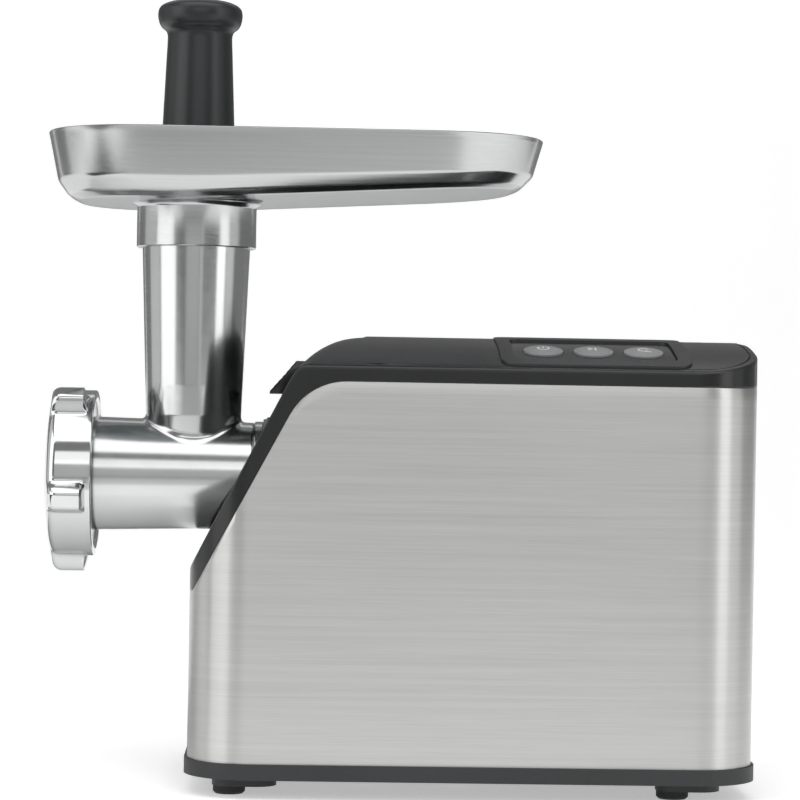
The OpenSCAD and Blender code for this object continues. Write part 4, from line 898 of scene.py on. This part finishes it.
frame_plastic = Finish("dark_grey_satin_abs", IOR=1.5)
frame_plastic.grained(frame_plastic.noise(1100, detail=2.0), (0.020, 0.021, 0.022), (0.027, 0.028, 0.030),
                      rough=0.34, spread=0.1, depth=1.2e-5, strength=0.2, tone=frame_plastic.noise(40))
dress(frame_plastic, "panel_frame")
gloss_insert = Finish("gloss_insert", IOR=1.52, Coat_Roughness=0.04)
faint = gloss_insert.noise(50)
gloss_insert.set(Base_Color=gloss_insert.blend(faint, (0.008, 0.009, 0.010), (0.013, 0.014, 0.015)),
                 Roughness=0.12 + 0.08 * faint, Coat_Weight=0.05 + 0.1 * faint)
dress(gloss_insert, "panel_plate")

wire_steel = Finish("drawn_spring_steel", Metallic=1.0)
wire_steel.grained(wire_steel.noise((400, 400, 1200)), (0.40, 0.40, 0.41), (0.55, 0.55, 0.56), rough=0.22,
                   spread=0.14, depth=6e-6, strength=0.3)
dress(wire_steel, "lever_spring", "brush_springs")
for key in ("power", "slow", "reverse"):
    press = joints[f"{key}_press"]
    push = np.array(press["axis"])
    coil = solid_piece(f"{key}_coil", bpy.data.objects[f"spring_{key}"].data.copy())
    spots = np.array([spot.co for spot in coil.data.vertices])
    depth = spots @ push
    fit_out(coil, "root", "spring_steel", wire_steel, f"spring_{key}")
    tuple(spots[depth.argmax()])
    1 - press["range_m"][1] / np.ptp(depth)
    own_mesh(coil)

switch_case = Finish("switch_nylon", IOR=1.53)
switch_case.grained(switch_case.noise(800, detail=2.0), (0.016, 0.019, 0.030), (0.030, 0.034, 0.048),
                    rough=0.4, spread=0.15, depth=2e-5, strength=0.3)
dress(switch_case, "push_switches", "brush_holders")

laminate = Finish("green_laminate", IOR=1.55, Coat_Roughness=0.12)
tracks = laminate.node("TexBrick", {"offset": 0.5}, {"Vector": laminate.place(260), "Scale": 1.0,
                                                     "Mortar Size": 0.09, "Mortar Smooth": 0.3}, 1)
weave = laminate.noise(1500, detail=2.0)
laminate.set(Base_Color=laminate.blend(tracks, (0.015, 0.085, 0.035), (0.040, 0.160, 0.060)),
             Roughness=0.3 + 0.15 * weave, Coat_Weight=0.35 + 0.2 * weave)
laminate.relief(tracks * 0.8 + weave * 0.2, 4e-5, 0.4)
dress(laminate, "control_board")


# ----------------------------------------
# Release lever
# A gloss black ABS thumb wedge with grip ribs across its face. It turns on a steel pin under the cover, and
# a press draws its nose back from the flange of the head.
def soften(piece, width):
    """Rounds a piece's crisp edges with a Bevel modifier and keeps the result as its mesh."""
    edge = piece.modifiers.new("edge", "BEVEL")
    edge.width, edge.segments, edge.limit_method, edge.angle_limit = width, 3, "ANGLE", np.radians(40)
    settle(piece, 35)
    return piece


face_low, face_high, ribs, rib_depth = np.array([-22.2, -8.4]), np.array([-10.6, 5.2]), 6, 0.45
down_face = np.linspace(0.02, 0.98, 97)
face_in = np.array([0.76, -0.65]) * rib_depth
ribbed = face_low + (face_high - face_low) * down_face[:, None] + face_in * (
    0.5 - 0.5 * np.cos(2 * np.pi * ribs * down_face))[:, None]
wedge_outline = np.concatenate([[(-22.4, -9.8)], [face_low], ribbed, [face_high],
                                [(-4.8, 5.2), (-4.8, -1.2), (-14, -9.8)]]) * MM
wedge = soften(prism("lever_wedge", wedge_outline + pivot[[0, 2]], lever_w), 0.45 * MM)

nose = (axis_z + 24.4 * MM - pivot[2]) / MM
end, hinge_r, chamfer = lever_w / 2, 3.2 * MM, 0.5 * MM
hinge = turned([(-end, 0), (-end, hinge_r - chamfer), (chamfer - end, hinge_r), (end - chamfer, hinge_r),
                (end, hinge_r - chamfer), (end, 0)], 40)
hinge = np.stack([hinge[..., 1], hinge[..., 0], hinge[..., 2]], -1) + pivot
hook_outline = np.array([(-13, -7), (-10, -4), (-10, nose + 1.1), (-10.4, nose), (-24, nose),
                         (-24.3, nose + 0.6), (-23.2, nose + 2.2), (-13, nose + 2.2)]) * MM
hook_sides = [np.insert(hook_outline, 1, side, axis=1) for side in (-3 * MM, 3 * MM)]
web_outline = np.array([(-6, -1.9), (0, -1.9), (0, 1.9), (-6, 1.9)]) * MM
web = prism("lever_web", web_outline + pivot[[0, 2]], lever_w - 0.4 * MM)
hook = soften(capped("lever_hook", np.array(hook_sides) + pivot), 0.3 * MM)

gloss_black = Finish("gloss_black_abs", IOR=1.52)
gloss_black.grained(gloss_black.noise(120, detail=2.0), (0.006, 0.006, 0.007), (0.010, 0.010, 0.011),
                    rough=0.12, spread=0.08, depth=8e-6, strength=0.2)
fit_out(wedge, "latch", "lever_plastic", gloss_black, "release_lever")
for lever_piece in (web, hook, sheet_metal("lever_hinge", (hinge, False, True))):
    fit_out(lever_piece, "latch", "lever_plastic", gloss_black)


# ----------------------------------------
# Drive train
# Die-cast gearbox halves and socket; steel pinions and shafts in bronze bushes; moulded nylon gears. The
# auger, knife and cutting plate stand in the barrel.
die_cast = Finish("die_cast_zinc_aluminium", Metallic=0.9)
die_cast.grained(die_cast.noise(500, detail=5.0, roughness=0.65), (0.34, 0.35, 0.36), (0.48, 0.49, 0.50),
                 rough=0.42, spread=0.18, depth=8e-5, strength=0.45, tone=die_cast.noise(45))
dress(die_cast, "head_socket", "gearbox_case", "gearbox_cover", "motor_front_bracket", "motor_rear_bracket")

ground = Finish("ground_steel", Metallic=1.0)
ground.grained(ground.noise((2600, 120, 120), detail=2.0), (0.46, 0.47, 0.48), (0.62, 0.63, 0.64), rough=0.16,
               spread=0.14, depth=6e-6, strength=0.4)
dress(ground, "output_shaft", "drive_coupling", "second_shaft", "first_shaft", "motor_shaft", "lever_pin",
      "second_pinion", "first_pinion", "motor_pinion", "motor_bearings")

nylon = Finish("natural_nylon", IOR=1.53)
milky = nylon.noise(90)
nylon.set(Base_Color=nylon.blend(milky, (0.66, 0.62, 0.52), (0.78, 0.74, 0.65)),
          Roughness=0.34 + 0.12 * milky)
nylon.relief(nylon.noise(700), 2e-5, 0.25)
dress(nylon, "second_gear", "first_gear", "output_gear", "auger_washer")

bronze = Finish("sintered_bronze", Metallic=1.0)
bronze.grained(bronze.noise(2200, detail=4.0, roughness=0.7), (0.36, 0.24, 0.11), (0.56, 0.41, 0.20),
               rough=0.34, spread=0.2, depth=4e-5, strength=0.5)
dress(bronze, "shaft_bushes")

blade = Finish("ground_blade_steel", Metallic=1.0)
blade.grained(blade.noise((200, 1500, 260)), (0.58, 0.59, 0.60), (0.72, 0.73, 0.74), rough=0.18, spread=0.14,
              depth=1e-5, strength=0.35)
dress(blade, "knife", "cutting_plate")
dress(cast, "auger")


# ----------------------------------------
# Motor
# A universal motor: stacked steel laminations, enamelled copper windings, a copper commutator with carbon
# brushes in sprung holders, and a moulded cooling fan on its shaft.
laminated = Finish("stacked_laminations", Metallic=0.75)
sheets = laminated.stripes(0, 0.5 * MM)
oil = laminated.noise(70)
laminated.set(Base_Color=laminated.blend(sheets * 0.6 + oil * 0.4, (0.12, 0.12, 0.13), (0.27, 0.28, 0.29)),
              Roughness=0.4 + 0.15 * oil)
laminated.relief(sheets, 5e-5, 0.6)
dress(laminated, "stator_core", "armature_core")

enamel = Finish("enamelled_copper", Metallic=0.85, Coat_Roughness=0.15)
strands = enamel.stripes(2, 0.6 * MM)
varnish = enamel.noise(120)
enamel.set(Base_Color=enamel.blend(strands * 0.5 + varnish * 0.5, (0.30, 0.09, 0.035), (0.62, 0.25, 0.11)),
           Roughness=0.24 + 0.12 * varnish, Coat_Weight=0.4 + 0.3 * varnish)
enamel.relief(strands, 8e-5, 0.7)
dress(enamel, "field_coils", "armature_winding")

copper = Finish("bare_copper", Metallic=1.0)
copper.grained(copper.noise((1800, 90, 90)), (0.42, 0.19, 0.10), (0.72, 0.40, 0.24), rough=0.22, spread=0.16,
               depth=8e-6, strength=0.4)
dress(copper, "commutator")

graphite = Finish("carbon_graphite", IOR=1.6)
graphite.grained(graphite.noise(1500, detail=4.0, roughness=0.7), (0.018, 0.018, 0.019),
                 (0.050, 0.050, 0.052), rough=0.5, spread=0.2, depth=3e-5, strength=0.4)
dress(graphite, "carbon_brushes")

fan_nylon = Finish("fan_nylon", IOR=1.53)
fan_nylon.grained(fan_nylon.noise(600), (0.035, 0.038, 0.042), (0.060, 0.064, 0.070), rough=0.4, spread=0.15,
                  depth=3e-5, strength=0.3)
dress(fan_nylon, "cooling_fan")


# ----------------------------------------
# Studio
# A pale sweep that runs up behind the grinder, lights on both sides, above and over the lens, and grey
# cards that only reflections see. The long lens stands near the height of the middle of the grinder.
curl_r, curl = 0.9, np.radians(np.linspace(6, 90, 14))
level = np.linspace(-1.7, 1.2, 20)
run = np.concatenate([level, level[-1] + curl_r * np.sin(curl), [level[-1] + curl_r]])
lift = np.concatenate([0 * level, curl_r - curl_r * np.cos(curl), [2.4]])
width = np.linspace(-1.5, 1.5, 24)
sweep = np.stack(np.broadcast_arrays(width[None], run[:, None], lift[:, None]), -1)
floor = sheet_metal("studio_sweep", (sweep, False, False))
paper_glow = 0.42
paper = Finish("pale_paper", Roughness=0.9, Emission_Strength=paper_glow, Emission_Color=(1, 1, 1))
paper.set(Base_Color=paper.blend(paper.noise(3), (0.84, 0.84, 0.84), (0.88, 0.88, 0.88)))
floor.data.materials.append(paper.material)


def soft_card(name, turn, tilt, far, size, glow, aim=(0, 0, 0.17)):
    """A rectangular light of size (width, height) seen from aim at turn degrees round from the lens towards
    the rear, tilt degrees up and far metres away; glow is its radiance."""
    turn, tilt = np.radians([turn, tilt])
    way = np.array([np.sin(turn) * np.cos(tilt), -np.cos(turn) * np.cos(tilt), np.sin(tilt)])
    lamp = bpy.data.lights.new(name, "AREA")
    lamp.shape, lamp.size, lamp.size_y = "RECTANGLE", size[0], size[1]
    lamp.energy = glow * np.pi * size[0] * size[1]
    holder = bpy.data.objects.new(name, lamp)
    holder.location = np.array(aim) + way * far
    holder.rotation_euler = Vector(-way).to_track_quat("-Z", "Y").to_euler()
    holder.visible_camera = False
    bpy.context.collection.objects.link(holder)


soft_card("left_bank", -62, 12, 1.6, (1.05, 1.7), 1.45)
soft_card("left_tail", -98, 12, 1.6, (0.85, 1.7), 0.45)
soft_card("right_bank", 56, 12, 1.6, (0.60, 1.7), 1.45)
soft_card("right_tail", 80, 12, 1.6, (0.60, 1.7), 0.5)
soft_card("front_fill", -8, 4, 1.9, (0.95, 0.9), 0.3)
soft_card("lens_strip", 10, 2, 1.55, (0.14, 0.9), 0.5)
soft_card("front_top", 0, 21, 1.8, (1.5, 0.55), 1.1)
soft_card("overhead", 0, 72, 1.6, (2.4, 1.7), 1.5)
soft_card("back_wash", 180, 45, 1.9, (2.2, 0.5), 1.5, aim=(0, 2.1, 0.4))


def grey_card(name, shade, fade, near, far):
    """A matt card that only reflections see, between the corners near and far, standing where they differ in
    height and lying where they don't: shade is its grey at the front and fade its grey at the rear."""
    card_finish = Finish("matt_" + name, Roughness=1.0, Specular_IOR_Level=0.0, Emission_Strength=paper_glow)
    depth = card_finish.band(card_finish.part(card_finish.place(), 1), near[1], far[1] + MM)
    for socket, least in (("Base_Color", 0.0), ("Emission_Color", 0.01)):
        card_finish.set(**{socket: card_finish.blend(depth, (shade + least,) * 3, (fade + least,) * 3)})
    corners = [[near, (far[0], near[1], near[2])], [(near[0], far[1], far[2]), far]]
    card = sheet_metal(name, (np.array(corners), False, False))
    card.data.materials.append(card_finish.material)
    card.visible_camera = card.visible_shadow = card.visible_diffuse = False


stand_far, stand_turn, card_half = 1.6, np.radians(-25), 0.17
stand_x, stand_y = -0.09 + stand_far * np.sin(stand_turn), -stand_far * np.cos(stand_turn)
stand_low, stand_high = (stand_x - card_half, stand_y, 0.0), (stand_x + card_half, stand_y, 1.5)
grey_card("card_upright", 0.14, 0.14, stand_low, stand_high)
grey_card("card_behind", 0.16, 0.16, (-0.75, 0.95, 0.17), (0.75, 0.95, 0.95))
grey_card("card_left", 0.01, 0.01, (-1.0, -0.62, 0.002), (-0.45, -0.06, 0.002))
grey_card("card_under", 0.80, 0.12, (-0.40, -0.15, 0.002), (-0.10, 0.28, 0.002))
grey_card("card_ahead", 0.18, 0.55, (-0.62, -1.7, 0.002), (0.30, -0.36, 0.002))
world = bpy.data.worlds.new("studio")
world.use_nodes = True
world.node_tree.nodes["Background"].inputs["Color"].default_value = (1, 1, 1, 1)
world.node_tree.nodes["Background"].inputs["Strength"].default_value = 0.24
bpy.context.scene.world = world

lens = bpy.data.cameras.new("lens")
lens.lens, lens.sensor_width, lens.clip_start = 128.7, 36.0, 0.01
camera = bpy.data.objects.new("camera", lens)
look_angle, roll = np.radians(2.0), np.radians(1.0)
distance = 1.3
camera.location = (2.05 * MM - distance * np.tan(look_angle), -distance, 0.1715)
camera.rotation_euler = (np.pi / 2, -roll, -look_angle)
bpy.context.collection.objects.link(camera)
bpy.context.scene.camera = camera
bpy.context.scene.view_settings.view_transform = "Standard"
